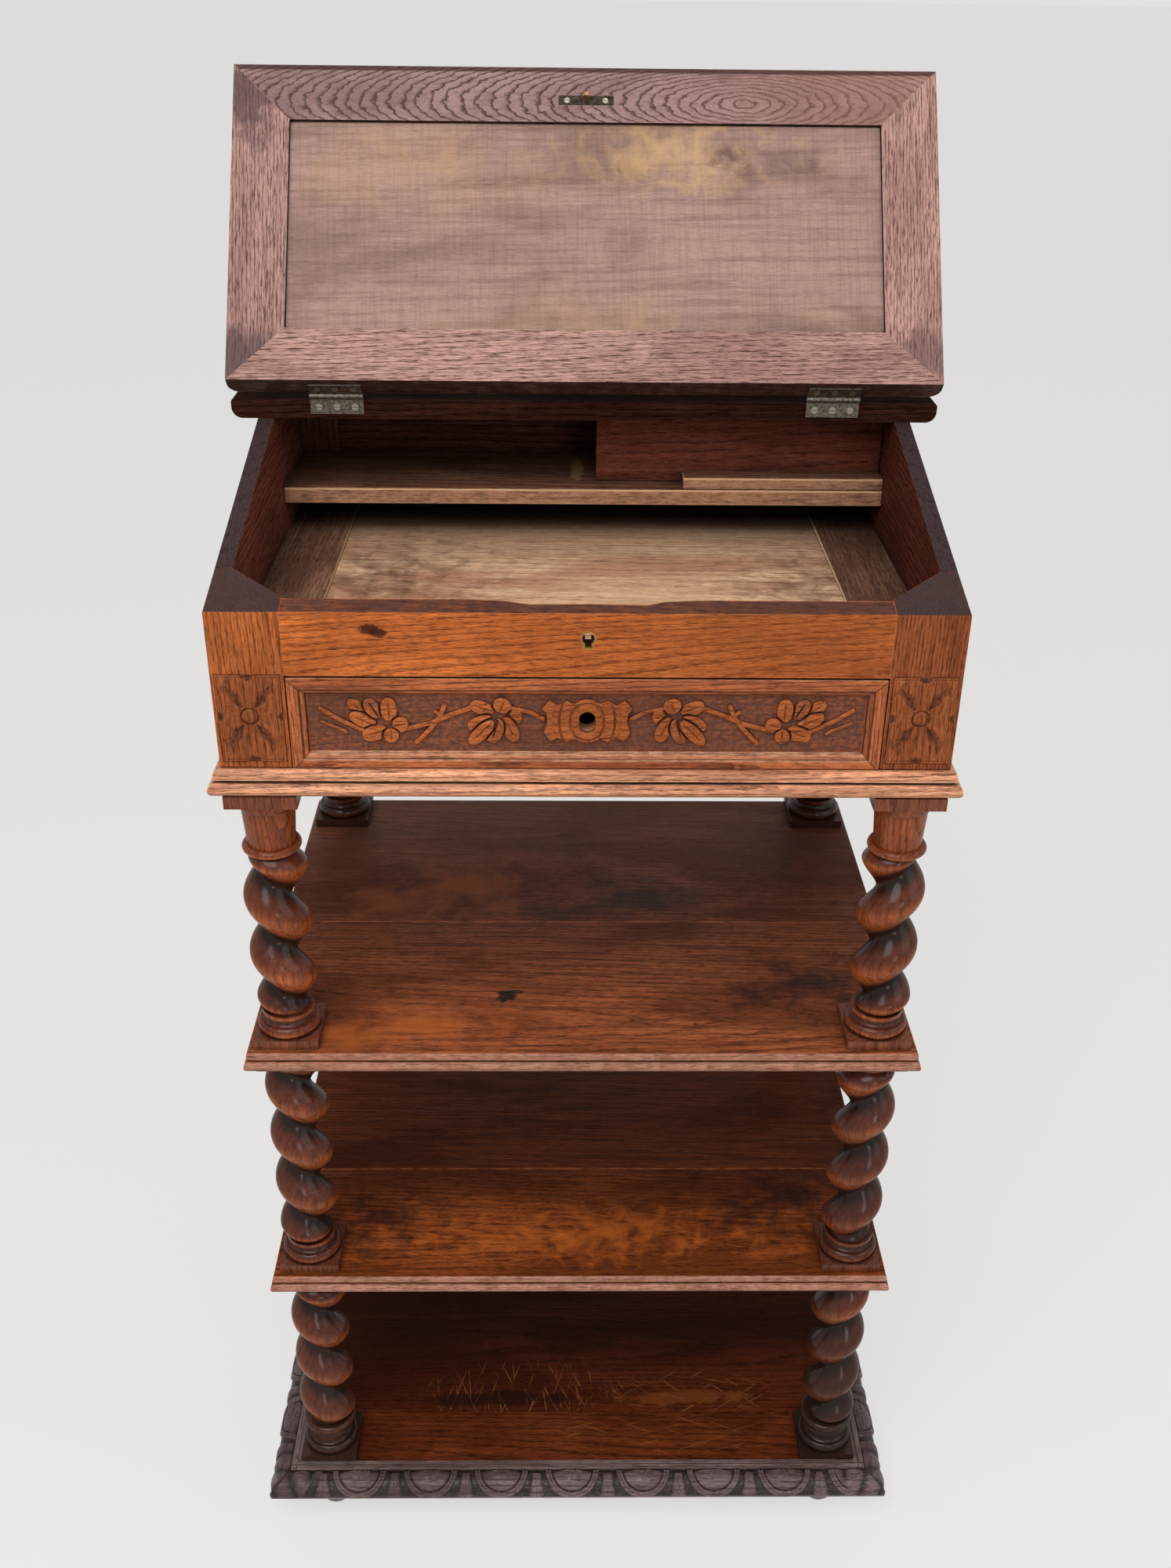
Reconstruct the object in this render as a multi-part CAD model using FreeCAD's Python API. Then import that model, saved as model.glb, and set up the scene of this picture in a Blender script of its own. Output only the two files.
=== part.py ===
import FreeCAD, Part
import math
import os

V = FreeCAD.Vector
X_AXIS = V(1, 0, 0)
Z_AXIS = V(0, 0, 1)
ORIGIN = V(0, 0, 0)

# A standing writing desk on three tiers of twist columns, in millimetres.
# +Z is up and the front faces -Y. The pieces are drawn about the middle of the four columns, and at the end
# moved so that the origin is on the floor under the middle of the base.

# Feet and base
foot_height = 38.0
foot_radius = 20.0
foot_sole_radius = 14.0
foot_neck_radius = 13.0
foot_belly_height = 17.0
foot_neck_height = 34.0
foot_in_x = 4.5
foot_out_front = 21.0
foot_in_back = 24.0
base_thickness = 24.0
base_overhang = 31.5
base_fillet_width = 11.0
base_fillet_rise = 1.5
base_fillet_height = 4.0
base_toe_round = 5.2
base_swell_in = 6.2
base_swell_height = 18.6
base_reed_groove = 1.0
base_front_board = 65.5
base_middle_board = 144.0

# Columns
column_span_x = 559.0
column_span_y = 416.0
plinth_side = 60.5
plinth_height = 9.5
lower_column = 272.0
middle_column = 268.0
upper_column = 272.0
torus_height = 10.5
torus_radius = 29.5
torus_bulge = 3.0
scotia_height = 8.0
scotia_radius = 22.5
scotia_depth = 1.5
collar_radius = 24.5
collar_height = 4.0
twist_pitch = 60.5
twist_ridge_radius = 30.0
twist_crease_radius = 14.0
twist_crease_softness = 1.4
twist_neck_radius = 20.5
twist_run_out = 15.0
twist_sections_count_per_turn = 12
twist_points_count = 24
lower_left_ridge = 118.0
lower_right_ridge = 91.0
middle_left_ridge = 78.0
middle_right_ridge = 110.5
upper_left_ridge = 67.0
upper_right_ridge = 76.0
lower_cove_height = 8.5
lower_cove_radius = 23.0
lower_ring_height = 9.0
lower_ring_radius = 28.5
cap_ring_radius = 26.0
cap_ring_height = 7.0
thin_abacus = 5.0
astragal_height = 7.5
astragal_radius = 26.5
drum_foot_radius = 21.5
drum_head_radius = 24.0
drum_height = 38.0
ovolo_height = 10.0
ovolo_radius = 28.0
ovolo_step = 1.7
ovolo_belly = 27.6
abacus_height = 12.0
abacus_side = 63.0

# Shelves
shelf_thickness = 21.0
shelf_overhang = 9.5
shelf_nosing_radius = 6.0
shelf_band_setback = 3.0
shelf_round = 2.5
nosing_quirk = 1.5
back_margin = 4.0
lower_shelf_front_board = 162.0
upper_shelf_front_board = 225.5

# Desk case
case_width = 624.0
case_depth = 462.0
case_bottom_thickness = 24.0
case_bottom_overhang = 11.0
case_nosing_radius = 6.5
case_band_setback = 5.0
case_round = 5.0
case_front_height = 142.5
desk_slope = 14.5
slope_run = 296.8
side_thickness = 15.5
post_width = 61.0
post_depth = 59.5
post_throat = 21.5
rail_height = 56.5
rail_thickness = 18.0
lock_scar_width = 190.0
lock_scar_core = 96.0
lock_scar_left = 67.0
lock_scar_right = 62.5
lock_scar_depth = 6.5
lock_scar_edge_depth = 2.2
lock_scar_ridge = 1.1
lock_scar_drop = 9.0
back_thickness = 20.0
back_stile_width = 39.0
back_rail_width = 45.0
back_panel_thickness = 8.0
panel_tongue = 6.0

# Keyhole insert in the front rail
keyhole_drop = 22.8
keyhole_head = 7.2
keyhole_waist = 4.0
keyhole_foot = 4.6
keyhole_skirt = 8.8
keyhole_depth = 3.0
keyhole_wall = 1.5

# Desk well
well_floor_lift = 2.0
well_floor_thickness = 12.0
well_floor_end_width = 62.5
inner_shelf_depth = 127.0
inner_shelf_thickness = 15.5
inner_shelf_above_floor = 30.0
guide_length = 198.5
guide_width = 25.8
guide_height = 11.3
guide_setback = 2.8

# Top board and lid
top_board_thickness = 18.0
top_board_end_overhang = 24.0
top_board_back_overhang = 9.0
top_board_upper_round = 3.0
top_board_lower_round = 10.0
lid_thickness = 19.0
lid_length = 311.5
lid_open_angle = 139.5
lid_edge_round = 11.0
lid_stile_width = 54.0
lid_front_rail_width = 55.0
lid_back_rail_width = 50.5
lid_panel_recess = 4.0
lid_tongue_thickness = 5.0
lid_rest_gap = 0.3

# Hinges
hinge_length = 50.0
hinge_from_lid_end = 100.5
hinge_leaf_thickness = 1.6
hinge_leaf_width = 13.0
hinge_leaf_gap = 0.4
hinge_barrel_radius = 3.2
hinge_pin_radius = 1.4
hinge_barrel_rise = 0.8
hinge_knuckles = 5
hinge_screw_spacing = 17.0
hinge_screw_head_radius = 3.1
hinge_screw_length = 12.0

# Strike plate on the lid
strike_length = 53.0
strike_width = 10.0
strike_thickness = 1.5
strike_from_front = 33.0
strike_pin_radius = 1.75
strike_pin_reach = 12.0
strike_pin_tail = 6.0
strike_screw_spread = 18.3
strike_screw_head_radius = 2.6
strike_screw_length = 10.0
screw_shank_share = 0.45
screw_rim = 0.3
screw_slot_width = 0.8
screw_slot_depth = 0.7

# Main drawer
drawer_side_gap = 1.0
drawer_top_gap = 2.0
drawer_front_thickness = 22.0
drawer_back_gap = 20.0
drawer_side_thickness = 12.0
drawer_back_drop = 12.0
drawer_bottom_thickness = 8.0
drawer_bottom_lift = 6.0
drawer_border_side = 9.0
drawer_border_top = 10.5
drawer_border_bottom = 7.0
drawer_field_depth = 7.0
drawer_field_bevel = 7.0
drawer_field_steps = (
    (0.0, 0.0), (0.07, 0.23), (0.24, 0.26), (0.52, 0.38), (0.72, 0.63), (0.78, 0.83), (1.0, 1.0),
)
drawer_keyhole_width = 14.0
drawer_keyhole_height = 20.0
drawer_keyhole_lift = 2.0
drawer_guide_thickness = 20.0

# Inner drawer
inner_drawer_length = 283.7
inner_top_gap = 1.5
inner_guide_gap = 0.4
inner_wall_thickness = 8.0
inner_end_thickness = 12.0
inner_bottom_thickness = 6.0
inner_end_gap = 0.5
inner_back_gap = 2.0
dovetail_narrow = 8.0
dovetail_wide = 13.0
dovetail_lower = 21.0
dovetail_upper = 58.0

# Clearances
run_gap = 0.3
pin_gap = 0.05
knuckle_gap = 0.3

# Places that follow from the sizes above
column_x = column_span_x / 2
column_y = column_span_y / 2
plinth_x = column_x + plinth_side / 2
plinth_y = column_y + plinth_side / 2
back_y = plinth_y + back_margin
base_front = -plinth_y - base_overhang
base_top = foot_height + base_thickness
lower_shelf_under = base_top + lower_column
lower_shelf_top = lower_shelf_under + shelf_thickness
upper_shelf_under = lower_shelf_top + middle_column
upper_shelf_top = upper_shelf_under + shelf_thickness
case_under = upper_shelf_top + upper_column
case_floor = case_under + case_bottom_thickness
case_x = case_width / 2
case_front = -case_depth / 2
case_back = case_depth / 2
slope = math.radians(desk_slope)
front_top = case_floor + case_front_height
top_front = case_front + slope_run
case_top = front_top + slope_run * math.tan(slope)
side_inner = case_x - side_thickness
post_inner = case_x - post_width
post_back = case_front + post_depth
rail_back = case_front + rail_thickness
rail_under = front_top - rail_height
back_inner = case_back - back_thickness
well_floor_under = rail_under + well_floor_lift
well_floor = well_floor_under + well_floor_thickness
well_panel_x = side_inner - well_floor_end_width
inner_shelf_front = back_inner - inner_shelf_depth
inner_shelf_under = well_floor + inner_shelf_above_floor
inner_shelf_top = inner_shelf_under + inner_shelf_thickness
guide_front = inner_shelf_front + guide_setback
guide_back = guide_front + guide_width
top_board_top = case_top + top_board_thickness
lid_x = case_x + top_board_end_overhang
hinge_centre_x = lid_x - hinge_from_lid_end
hinge_half_gap = hinge_leaf_gap / 2 + hinge_leaf_thickness
hinge_y = top_front - hinge_half_gap
hinge_z = top_board_top + hinge_barrel_radius + hinge_barrel_rise
lid_back = hinge_y - hinge_half_gap
lid_back_under = front_top + (lid_back - case_front) * math.tan(slope) + lid_rest_gap / math.cos(slope)


def box(x0, x1, y0, y1, z0, z1):
    """Block between two corners."""
    return Part.makeBox(x1 - x0, y1 - y0, z1 - z0, V(x0, y0, z0))


def outline(place, start, *steps):
    """Face inside a chain of lines and arcs: a step is an end point, or an arc's middle and end points."""
    edges = []
    here = start
    for step in steps:
        if isinstance(step[0], tuple):
            middle, end = step
            edges.append(Part.Arc(place(*here), place(*middle), place(*end)).toShape())
        else:
            end = step
            edges.append(Part.LineSegment(place(*here), place(*end)).toShape())
        here = end
    edges.append(Part.LineSegment(place(*here), place(*start)).toShape())
    return Part.Face(Part.Wire(edges))


def prism_z(points, z0, z1):
    """Upright prism on a plan polygon."""
    face = outline(lambda x, y: V(x, y, z0), *points)
    return face.extrude(V(0, 0, z1 - z0))


def turned(*points):
    """Solid of revolution about Z from a half outline of radii and heights, closed on the axis."""
    face = outline(lambda r, z: V(r, 0, z), *points)
    return face.revolve(ORIGIN, Z_AXIS, 360)


def round_corner(corner_out, corner_up, radius, top):
    """Middle and end of a quarter round: over a top edge, or under a bottom edge."""
    reach = radius * (1 - math.cos(math.pi / 4))
    if top:
        return (corner_out - reach, corner_up - reach), (corner_out - radius, corner_up)
    return (corner_out - reach, corner_up + reach), (corner_out, corner_up + radius)


def mirrored(shape):
    """The same piece on the other side of the desk."""
    return shape.mirror(ORIGIN, X_AXIS)


def moulded_slab(edge, half_width, moulded_y, plain_y, underside, thickness):
    """Board whose edge moulding runs along both ends and along one long side, mitred at the corners."""
    outward = math.copysign(1.0, moulded_y - plain_y)
    depth = abs(moulded_y - plain_y)
    long_face = outline(
        lambda out, up: V(-half_width, moulded_y + outward * out, underside + up),
        (-depth, 0.0), *edge, (-depth, thickness),
    )
    end_face = outline(
        lambda out, up: V(half_width + out, min(moulded_y, plain_y), underside + up),
        (-2 * half_width, 0.0), *edge, (-2 * half_width, thickness),
    )
    right_end = end_face.extrude(V(0, depth, 0))
    slab = long_face.extrude(V(2 * half_width, 0, 0))
    return slab.common(right_end).common(mirrored(right_end))


def nosing_edge(radius, setback, thickness, top_round):
    """Half-round nosing below, a quirk, and a set-back band with an eased top."""
    step = 2 * radius
    return [
        (-radius, 0.0),
        ((0.0, radius), (-radius, step)),
        (-radius - nosing_quirk, step),
        (-radius - nosing_quirk, step + nosing_quirk),
        (-setback, step + nosing_quirk),
        (-setback, thickness - top_round),
        round_corner(-setback, thickness, top_round, True),
    ]


def base_edge():
    """Rounded foot, a wide swelling face and a flat fillet with one groove, seen from the tip."""
    fillet = base_fillet_width - base_overhang
    top = base_thickness + base_fillet_rise
    groove = fillet - base_fillet_width / 2
    return [
        (-base_toe_round, 0.0),
        round_corner(0.0, 0.0, base_toe_round, False),
        ((-base_swell_in, base_swell_height), (fillet, top - base_fillet_height)),
        (fillet, top),
        (groove, top),
        (groove, top - base_reed_groove),
        (groove - base_reed_groove, top - base_reed_groove),
        (groove - base_reed_groove, top),
    ]


def top_board_edge():
    """Thumb edge: a small round above and a large one below."""
    return [
        (-top_board_lower_round, 0.0),
        round_corner(0.0, 0.0, top_board_lower_round, False),
        (0.0, top_board_thickness - top_board_upper_round),
        round_corner(0.0, top_board_thickness, top_board_upper_round, True),
    ]


def twist(bottom, top, ridge_height):
    """One-start twist: a round section with one crease, turning as it rises.

    The ridge faces +X at ridge_height. A crease softness of 1 cuts a sharp V, and 2 a cove
    as wide as the ridge.
    """
    count = math.ceil((top - bottom) / twist_pitch * twist_sections_count_per_turn)
    sections = []
    for i in range(count + 1):
        z = bottom + (top - bottom) * i / count
        ramp = min(1.0, (z - bottom) / twist_run_out, (top - z) / twist_run_out)
        swell = math.sin(ramp * math.pi / 2)
        crease = twist_neck_radius + swell * (twist_crease_radius - twist_neck_radius)
        rise = swell * (twist_ridge_radius - twist_crease_radius)
        turn = -2 * math.pi * (z - ridge_height) / twist_pitch
        points = []
        for k in range(twist_points_count):
            phi = 2 * math.pi * k / twist_points_count - math.pi
            radius = crease + rise * max(0.0, math.cos(phi / 2)) ** twist_crease_softness
            points.append(V(radius * math.cos(turn + phi), radius * math.sin(turn + phi), z))
        points.append(points[0])
        curve = Part.BSplineCurve()
        curve.interpolate(points)
        sections.append(Part.Wire([curve.toShape()]))
    return Part.makeLoft(sections, True, False)


def column_foot():
    """Square plinth under a torus, a scotia and a collar; returns the solid and the collar's top."""
    torus_top = plinth_height + torus_height
    scotia_top = torus_top + scotia_height
    top = scotia_top + collar_height
    torus_edge = torus_radius - torus_bulge
    rings = turned(
        (0.0, plinth_height),
        (torus_edge, plinth_height),
        ((torus_radius, plinth_height + torus_height / 2), (torus_edge, torus_top)),
        (collar_radius, torus_top),
        ((scotia_radius - scotia_depth, torus_top + scotia_height / 2), (scotia_radius, scotia_top)),
        (collar_radius, scotia_top),
        (collar_radius, top),
        (0.0, top),
    )
    half = plinth_side / 2
    return box(-half, half, -half, half, 0.0, plinth_height).fuse(rings), top


def ringed_foot():
    """The foot of the lower columns, with a cove and one more ring; returns the solid and the ring's top."""
    foot, collar_top = column_foot()
    ring_under = collar_top + lower_cove_height
    top = ring_under + lower_ring_height
    bulge = lower_ring_height / 2
    ring = turned(
        (0.0, collar_top),
        (collar_radius, collar_top),
        ((lower_cove_radius, collar_top + lower_cove_height / 2), (lower_ring_radius - bulge, ring_under)),
        ((lower_ring_radius, ring_under + bulge), (lower_ring_radius - bulge, top)),
        (0.0, top),
    )
    return foot.fuse(ring), top


def short_cap(height):
    """Ring under a thin square abacus; returns the solid and the height of its underside."""
    abacus_under = height - thin_abacus
    ring_under = abacus_under - cap_ring_height
    bulge = cap_ring_height / 2
    ring = turned(
        (0.0, ring_under),
        (cap_ring_radius - bulge, ring_under),
        ((cap_ring_radius, ring_under + bulge), (cap_ring_radius - bulge, abacus_under)),
        (0.0, abacus_under),
    )
    half = plinth_side / 2
    return ring.fuse(box(-half, half, -half, half, abacus_under, height)), ring_under


def drum_cap(height):
    """Astragal, tapered drum, ovolo and square abacus; returns the solid and its underside's height."""
    abacus_under = height - abacus_height
    ovolo_under = abacus_under - ovolo_height
    drum_under = ovolo_under - drum_height
    under = drum_under - astragal_height
    bulge = astragal_height / 2
    rings = turned(
        (0.0, under),
        (astragal_radius - bulge, under),
        ((astragal_radius, under + bulge), (astragal_radius - bulge, drum_under)),
        (drum_foot_radius, drum_under),
        (drum_head_radius, ovolo_under),
        (drum_head_radius + ovolo_step, ovolo_under),
        ((ovolo_belly, ovolo_under + ovolo_height / 2), (ovolo_radius, abacus_under)),
        (0.0, abacus_under),
    )
    half = abacus_side / 2
    return rings.fuse(box(-half, half, -half, half, abacus_under, height)), under


def column(height, foot_maker, cap_maker, ridge_height):
    """A column that twists as the left ones do, standing on the origin."""
    foot, twist_bottom = foot_maker()
    cap, twist_top = cap_maker(height)
    whole = foot.fuse([twist(twist_bottom, twist_top, ridge_height), cap])
    return whole.removeSplitter()


def case_prism(x0, x1):
    """The case's side view, with its sloping top, as wide as asked."""
    face = outline(
        lambda y, z: V(x0, y, z),
        (case_front, case_floor),
        (case_back, case_floor),
        (case_back, case_top),
        (top_front, case_top),
        (case_front, front_top),
    )
    return face.extrude(V(x1 - x0, 0, 0))


def wood_screw(head_radius, length, gap):
    """Countersunk screw, head up at the origin; gap widens it into its hole."""
    head = head_radius + gap
    shank = head_radius * screw_shank_share + gap
    neck = screw_rim + head - shank
    tip = length + gap
    return turned(
        (0.0, gap),
        (head, gap),
        (head, -screw_rim),
        (shank, -neck),
        (shank, shank - tip),
        (0.0, -tip),
    )


def slotted(screw, head_radius):
    """The screw with a driver slot across its head."""
    half = screw_slot_width / 2
    return screw.cut(box(-head_radius, head_radius, -half, half, -screw_slot_depth, screw_slot_depth))


def facing_front(shape, x, y, z):
    """Turn a piece that looks up so that it looks to -Y, and put it in place."""
    shape.rotate(ORIGIN, X_AXIS, 90)
    shape.translate(V(x, y, z))
    return shape


def laid_on_slope(shape):
    """Put a piece of the flat lid on the closed slope: its back lower edge is the flat X axis."""
    shape.rotate(ORIGIN, X_AXIS, desk_slope)
    shape.translate(V(0, lid_back, lid_back_under))
    return shape


def swung_open(shape):
    """Swing a piece of the closed lid about the hinge pins to where it rests."""
    shape.rotate(V(0, hinge_y, hinge_z), X_AXIS, -lid_open_angle)
    return shape


def base_pieces():
    """Mitred mouldings round three bottom boards, and the four feet."""
    half_width = plinth_x + base_overhang
    height = base_thickness + base_fillet_rise
    block = moulded_slab(base_edge(), half_width, base_front, back_y, foot_height, height)
    ring = block.cut(box(-plinth_x, plinth_x, -plinth_y, back_y, foot_height, foot_height + height))
    mitre = [
        (-plinth_x, -plinth_y),
        (plinth_x, -plinth_y),
        (half_width, base_front),
        (-half_width, base_front),
    ]
    wedge = prism_z(mitre, foot_height, foot_height + height)
    sides = ring.cut(wedge)
    left = sides.common(box(-half_width, 0.0, base_front, back_y, foot_height, foot_height + height))
    front_joint = base_front_board - plinth_y
    middle_joint = front_joint + base_middle_board
    foot = turned(
        (0.0, 0.0),
        (foot_sole_radius, 0.0),
        ((foot_radius, foot_belly_height), (foot_neck_radius, foot_neck_height)),
        (foot_neck_radius, foot_height),
        (0.0, foot_height),
    )
    feet = []
    for x in (foot_in_x - column_x, column_x - foot_in_x):
        for y in (-column_y - foot_out_front, back_y - foot_in_back):
            each = foot.copy()
            each.translate(V(x, y, 0))
            feet.append(each)
    return {
        "base_front_moulding": ring.common(wedge),
        "base_left_moulding": left,
        "base_right_moulding": mirrored(left),
        "base_front_board": box(-plinth_x, plinth_x, -plinth_y, front_joint, foot_height, base_top),
        "base_middle_board": box(-plinth_x, plinth_x, front_joint, middle_joint, foot_height, base_top),
        "base_back_board": box(-plinth_x, plinth_x, middle_joint, back_y, foot_height, base_top),
        "feet": feet,
    }


def column_pieces():
    """Three tiers of four columns. The right ones twist the other way, and start at an angle of their own."""
    tiers = [
        ("lower", base_top, lower_column, ringed_foot, short_cap, lower_left_ridge, lower_right_ridge),
        ("middle", lower_shelf_top, middle_column, column_foot, short_cap,
         middle_left_ridge, middle_right_ridge),
        ("upper", upper_shelf_top, upper_column, column_foot, drum_cap, upper_left_ridge, upper_right_ridge),
    ]
    pieces = {}
    for tier, level, height, foot_maker, cap_maker, left_ridge, right_ridge in tiers:
        left_pattern = column(height, foot_maker, cap_maker, left_ridge)
        right_pattern = column(height, foot_maker, cap_maker, right_ridge)
        for depth_name, y in (("front", -column_y), ("back", column_y)):
            place = V(-column_x, y, level)
            pieces[f"{tier}_column_{depth_name}_left"] = left_pattern.translated(place)
            pieces[f"{tier}_column_{depth_name}_right"] = mirrored(right_pattern.translated(place))
    return pieces


def shelf_pieces(name, underside, front_board):
    """One shelf as a front and a back board."""
    half_width = plinth_x + shelf_overhang
    front = -plinth_y - shelf_overhang
    edge = nosing_edge(shelf_nosing_radius, shelf_band_setback, shelf_thickness, shelf_round)
    slab = moulded_slab(edge, half_width, front, back_y, underside, shelf_thickness)
    joint = front + front_board
    front_part = box(-half_width, half_width, front, joint, underside, underside + shelf_thickness)
    return {f"{name}_front_board": slab.common(front_part), f"{name}_back_board": slab.cut(front_part)}


def case_pieces():
    """Moulded bottom, posts, sides, front rail and the framed back."""
    edge = nosing_edge(case_nosing_radius, case_band_setback, case_bottom_thickness, case_round)
    bottom = moulded_slab(
        edge, case_x + case_bottom_overhang, case_front - case_bottom_overhang, back_y,
        case_under, case_bottom_thickness,
    )
    left_post = prism_z(
        [
            (-case_x, case_front),
            (-post_inner, case_front),
            (-post_inner, case_front + post_throat),
            (-side_inner, post_back),
            (-case_x, post_back),
        ],
        case_floor, case_top,
    ).common(case_prism(-case_x, 0.0))
    left_side = case_prism(-case_x, -side_inner).common(
        box(-case_x, -side_inner, post_back, case_back, case_floor, case_top)
    )
    rail = case_prism(-post_inner, post_inner).common(
        box(-post_inner, post_inner, case_front, rail_back, rail_under, case_top)
    )
    rail = rail.cut(lock_scar())
    insert, keyhole = keyhole_shapes()
    rail = rail.cut(insert).cut(keyhole)
    stile = box(-side_inner, back_stile_width - side_inner, back_inner, case_back, case_floor, case_top)
    stile_x = side_inner - back_stile_width
    lower_rail = box(-stile_x, stile_x, back_inner, case_back, case_floor, case_floor + back_rail_width)
    upper_rail = box(-stile_x, stile_x, back_inner, case_back, case_top - back_rail_width, case_top)
    panel_y = case_back - back_thickness / 2 - back_panel_thickness / 2
    panel = box(
        -stile_x - panel_tongue, stile_x + panel_tongue,
        panel_y, panel_y + back_panel_thickness,
        case_floor + back_rail_width - panel_tongue, case_top - back_rail_width + panel_tongue,
    )
    return {
        "case_bottom_board": bottom,
        "left_front_post": left_post,
        "right_front_post": mirrored(left_post),
        "left_side_board": left_side,
        "right_side_board": mirrored(left_side),
        "front_rail": rail,
        "keyhole_insert": insert.cut(keyhole),
        "back_stiles": [stile.cut(panel), mirrored(stile).cut(panel)],
        "back_rails": [lower_rail.cut(panel), upper_rail.cut(panel)],
        "back_panel": panel,
    }


def lock_scar():
    """Wood torn from the inner top edge of the front rail, where a lock once sat."""
    half_width = lock_scar_width / 2
    half_core = lock_scar_core / 2
    shallow = rail_back - lock_scar_edge_depth
    deep = rail_back - lock_scar_depth
    scar = [
        (-half_width, rail_back),
        (-lock_scar_left, shallow),
        (-half_core, deep),
        (0.0, deep + lock_scar_ridge),
        (half_core, deep),
        (lock_scar_right, shallow),
        (half_width, rail_back),
    ]
    top = front_top + rail_thickness * math.tan(slope)
    return prism_z(scar, top - lock_scar_drop, top + lock_scar_drop)


def keyhole_shapes():
    """The insert's block in the face of the rail, and the keyhole right through."""
    level = front_top - keyhole_drop

    def shape(wall, depth):
        waist = keyhole_waist - wall
        face = outline(
            lambda x, up: V(x, case_front, level + up),
            (wall - keyhole_foot, wall - keyhole_skirt),
            (keyhole_foot - wall, wall - keyhole_skirt),
            (waist, -keyhole_waist),
            ((0.0, keyhole_head - wall), (-waist, -keyhole_waist)),
        )
        return face.extrude(V(0, depth, 0))

    return shape(0.0, keyhole_depth), shape(keyhole_wall, rail_thickness)


def well_pieces():
    """Floor of the desk well, drawer guides under it, inner shelf and guide strip."""
    floor_end = prism_z(
        [
            (-well_panel_x, rail_back),
            (-post_inner, rail_back),
            (-post_inner, case_front + post_throat),
            (-side_inner, post_back),
            (-side_inner, back_inner),
            (-well_panel_x, back_inner),
        ],
        well_floor_under, well_floor,
    )
    guide = box(
        -post_inner - drawer_guide_thickness, -post_inner, post_back, back_inner,
        case_floor, well_floor_under,
    )
    return {
        "well_floor_panel": box(
            -well_panel_x, well_panel_x, rail_back, back_inner, well_floor_under, well_floor
        ),
        "well_floor_ends": [floor_end, mirrored(floor_end)],
        "drawer_guides": [guide, mirrored(guide)],
        "inner_shelf": box(
            -side_inner, side_inner, inner_shelf_front, back_inner, inner_shelf_under, inner_shelf_top
        ),
        "inner_drawer_guide": box(
            side_inner - guide_length, side_inner, guide_front, guide_back,
            inner_shelf_top, inner_shelf_top + guide_height,
        ),
    }


def drawer_pieces():
    """Main drawer, closed: recessed front, sides, back and a grooved-in bottom."""
    half_width = post_inner - drawer_side_gap
    under = case_floor + run_gap
    top = rail_under - drawer_top_gap
    face_back = case_front + drawer_front_thickness
    drawer_back = back_inner - drawer_back_gap
    side_in = half_width - drawer_side_thickness
    field = [
        (-half_width + drawer_border_side, half_width - drawer_border_side),
        (under + drawer_border_bottom, top - drawer_border_top),
    ]
    rings = []
    for width_share, depth_share in drawer_field_steps:
        inset = drawer_field_bevel * width_share
        y = case_front + drawer_field_depth * depth_share
        (x0, x1), (z0, z1) = [(low + inset, high - inset) for low, high in field]
        corners = [V(x0, y, z0), V(x1, y, z0), V(x1, y, z1), V(x0, y, z1), V(x0, y, z0)]
        rings.append(Part.makePolygon(corners))
    recess = Part.makeLoft(rings, True, True)
    radius = drawer_keyhole_width / 2
    straight = drawer_keyhole_height / 2 - radius
    keyhole_z = sum(field[1]) / 2 + drawer_keyhole_lift
    oval = outline(
        lambda x, up: V(x, case_front, keyhole_z + up),
        (-radius, -straight),
        ((0.0, -straight - radius), (radius, -straight)),
        (radius, straight),
        ((0.0, straight + radius), (-radius, straight)),
    )
    front = box(-half_width, half_width, case_front, face_back, under, top)
    front = front.cut(recess).cut(oval.extrude(V(0, drawer_front_thickness, 0)))
    bottom_z = under + drawer_bottom_lift
    bottom = box(
        -side_in - panel_tongue, side_in + panel_tongue,
        face_back - panel_tongue, drawer_back - drawer_side_thickness,
        bottom_z, bottom_z + drawer_bottom_thickness,
    )
    side = box(-half_width, -side_in, face_back, drawer_back, under, top).cut(bottom)
    back = box(
        -side_in, side_in, drawer_back - drawer_side_thickness, drawer_back,
        bottom_z, top - drawer_back_drop,
    )
    return {
        "drawer_front": front.cut(bottom),
        "drawer_sides": [side, mirrored(side)],
        "drawer_back": back,
        "drawer_bottom": bottom,
    }


def inner_drawer_pieces():
    """Small drawer at the right end of the inner shelf, dovetailed at its four corners."""
    right = side_inner - inner_end_gap
    left = right - inner_drawer_length
    back = back_inner - inner_back_gap
    front = guide_back + inner_guide_gap
    under = inner_shelf_top + run_gap
    top = case_top - inner_top_gap
    front_inner = front + inner_wall_thickness
    back_wall = back - inner_wall_thickness
    walls = [
        box(left, right, front, front_inner, under, top),
        box(left, right, back_wall, back, under, top),
    ]
    end_left = box(left, left + inner_end_thickness, front_inner, back_wall, under, top)
    for height in (dovetail_lower, dovetail_upper):
        pin = outline(
            lambda x, up: V(x, front, under + up),
            (left, height - dovetail_narrow / 2),
            (left + inner_end_thickness, height - dovetail_wide / 2),
            (left + inner_end_thickness, height + dovetail_wide / 2),
            (left, height + dovetail_narrow / 2),
        )
        end_left = end_left.fuse(pin.extrude(V(0, back - front, 0)))
    middle = V((left + right) / 2, 0, 0)
    end_left = end_left.removeSplitter()
    end_right = end_left.mirror(middle, X_AXIS)
    bottom = box(
        left + inner_end_thickness, right - inner_end_thickness, front_inner, back_wall,
        under, under + inner_bottom_thickness,
    )
    return {
        "inner_drawer_walls": [wall.cut(end_left).cut(end_right) for wall in walls],
        "inner_drawer_ends": [end_left, end_right],
        "inner_drawer_bottom": bottom,
    }


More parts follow.
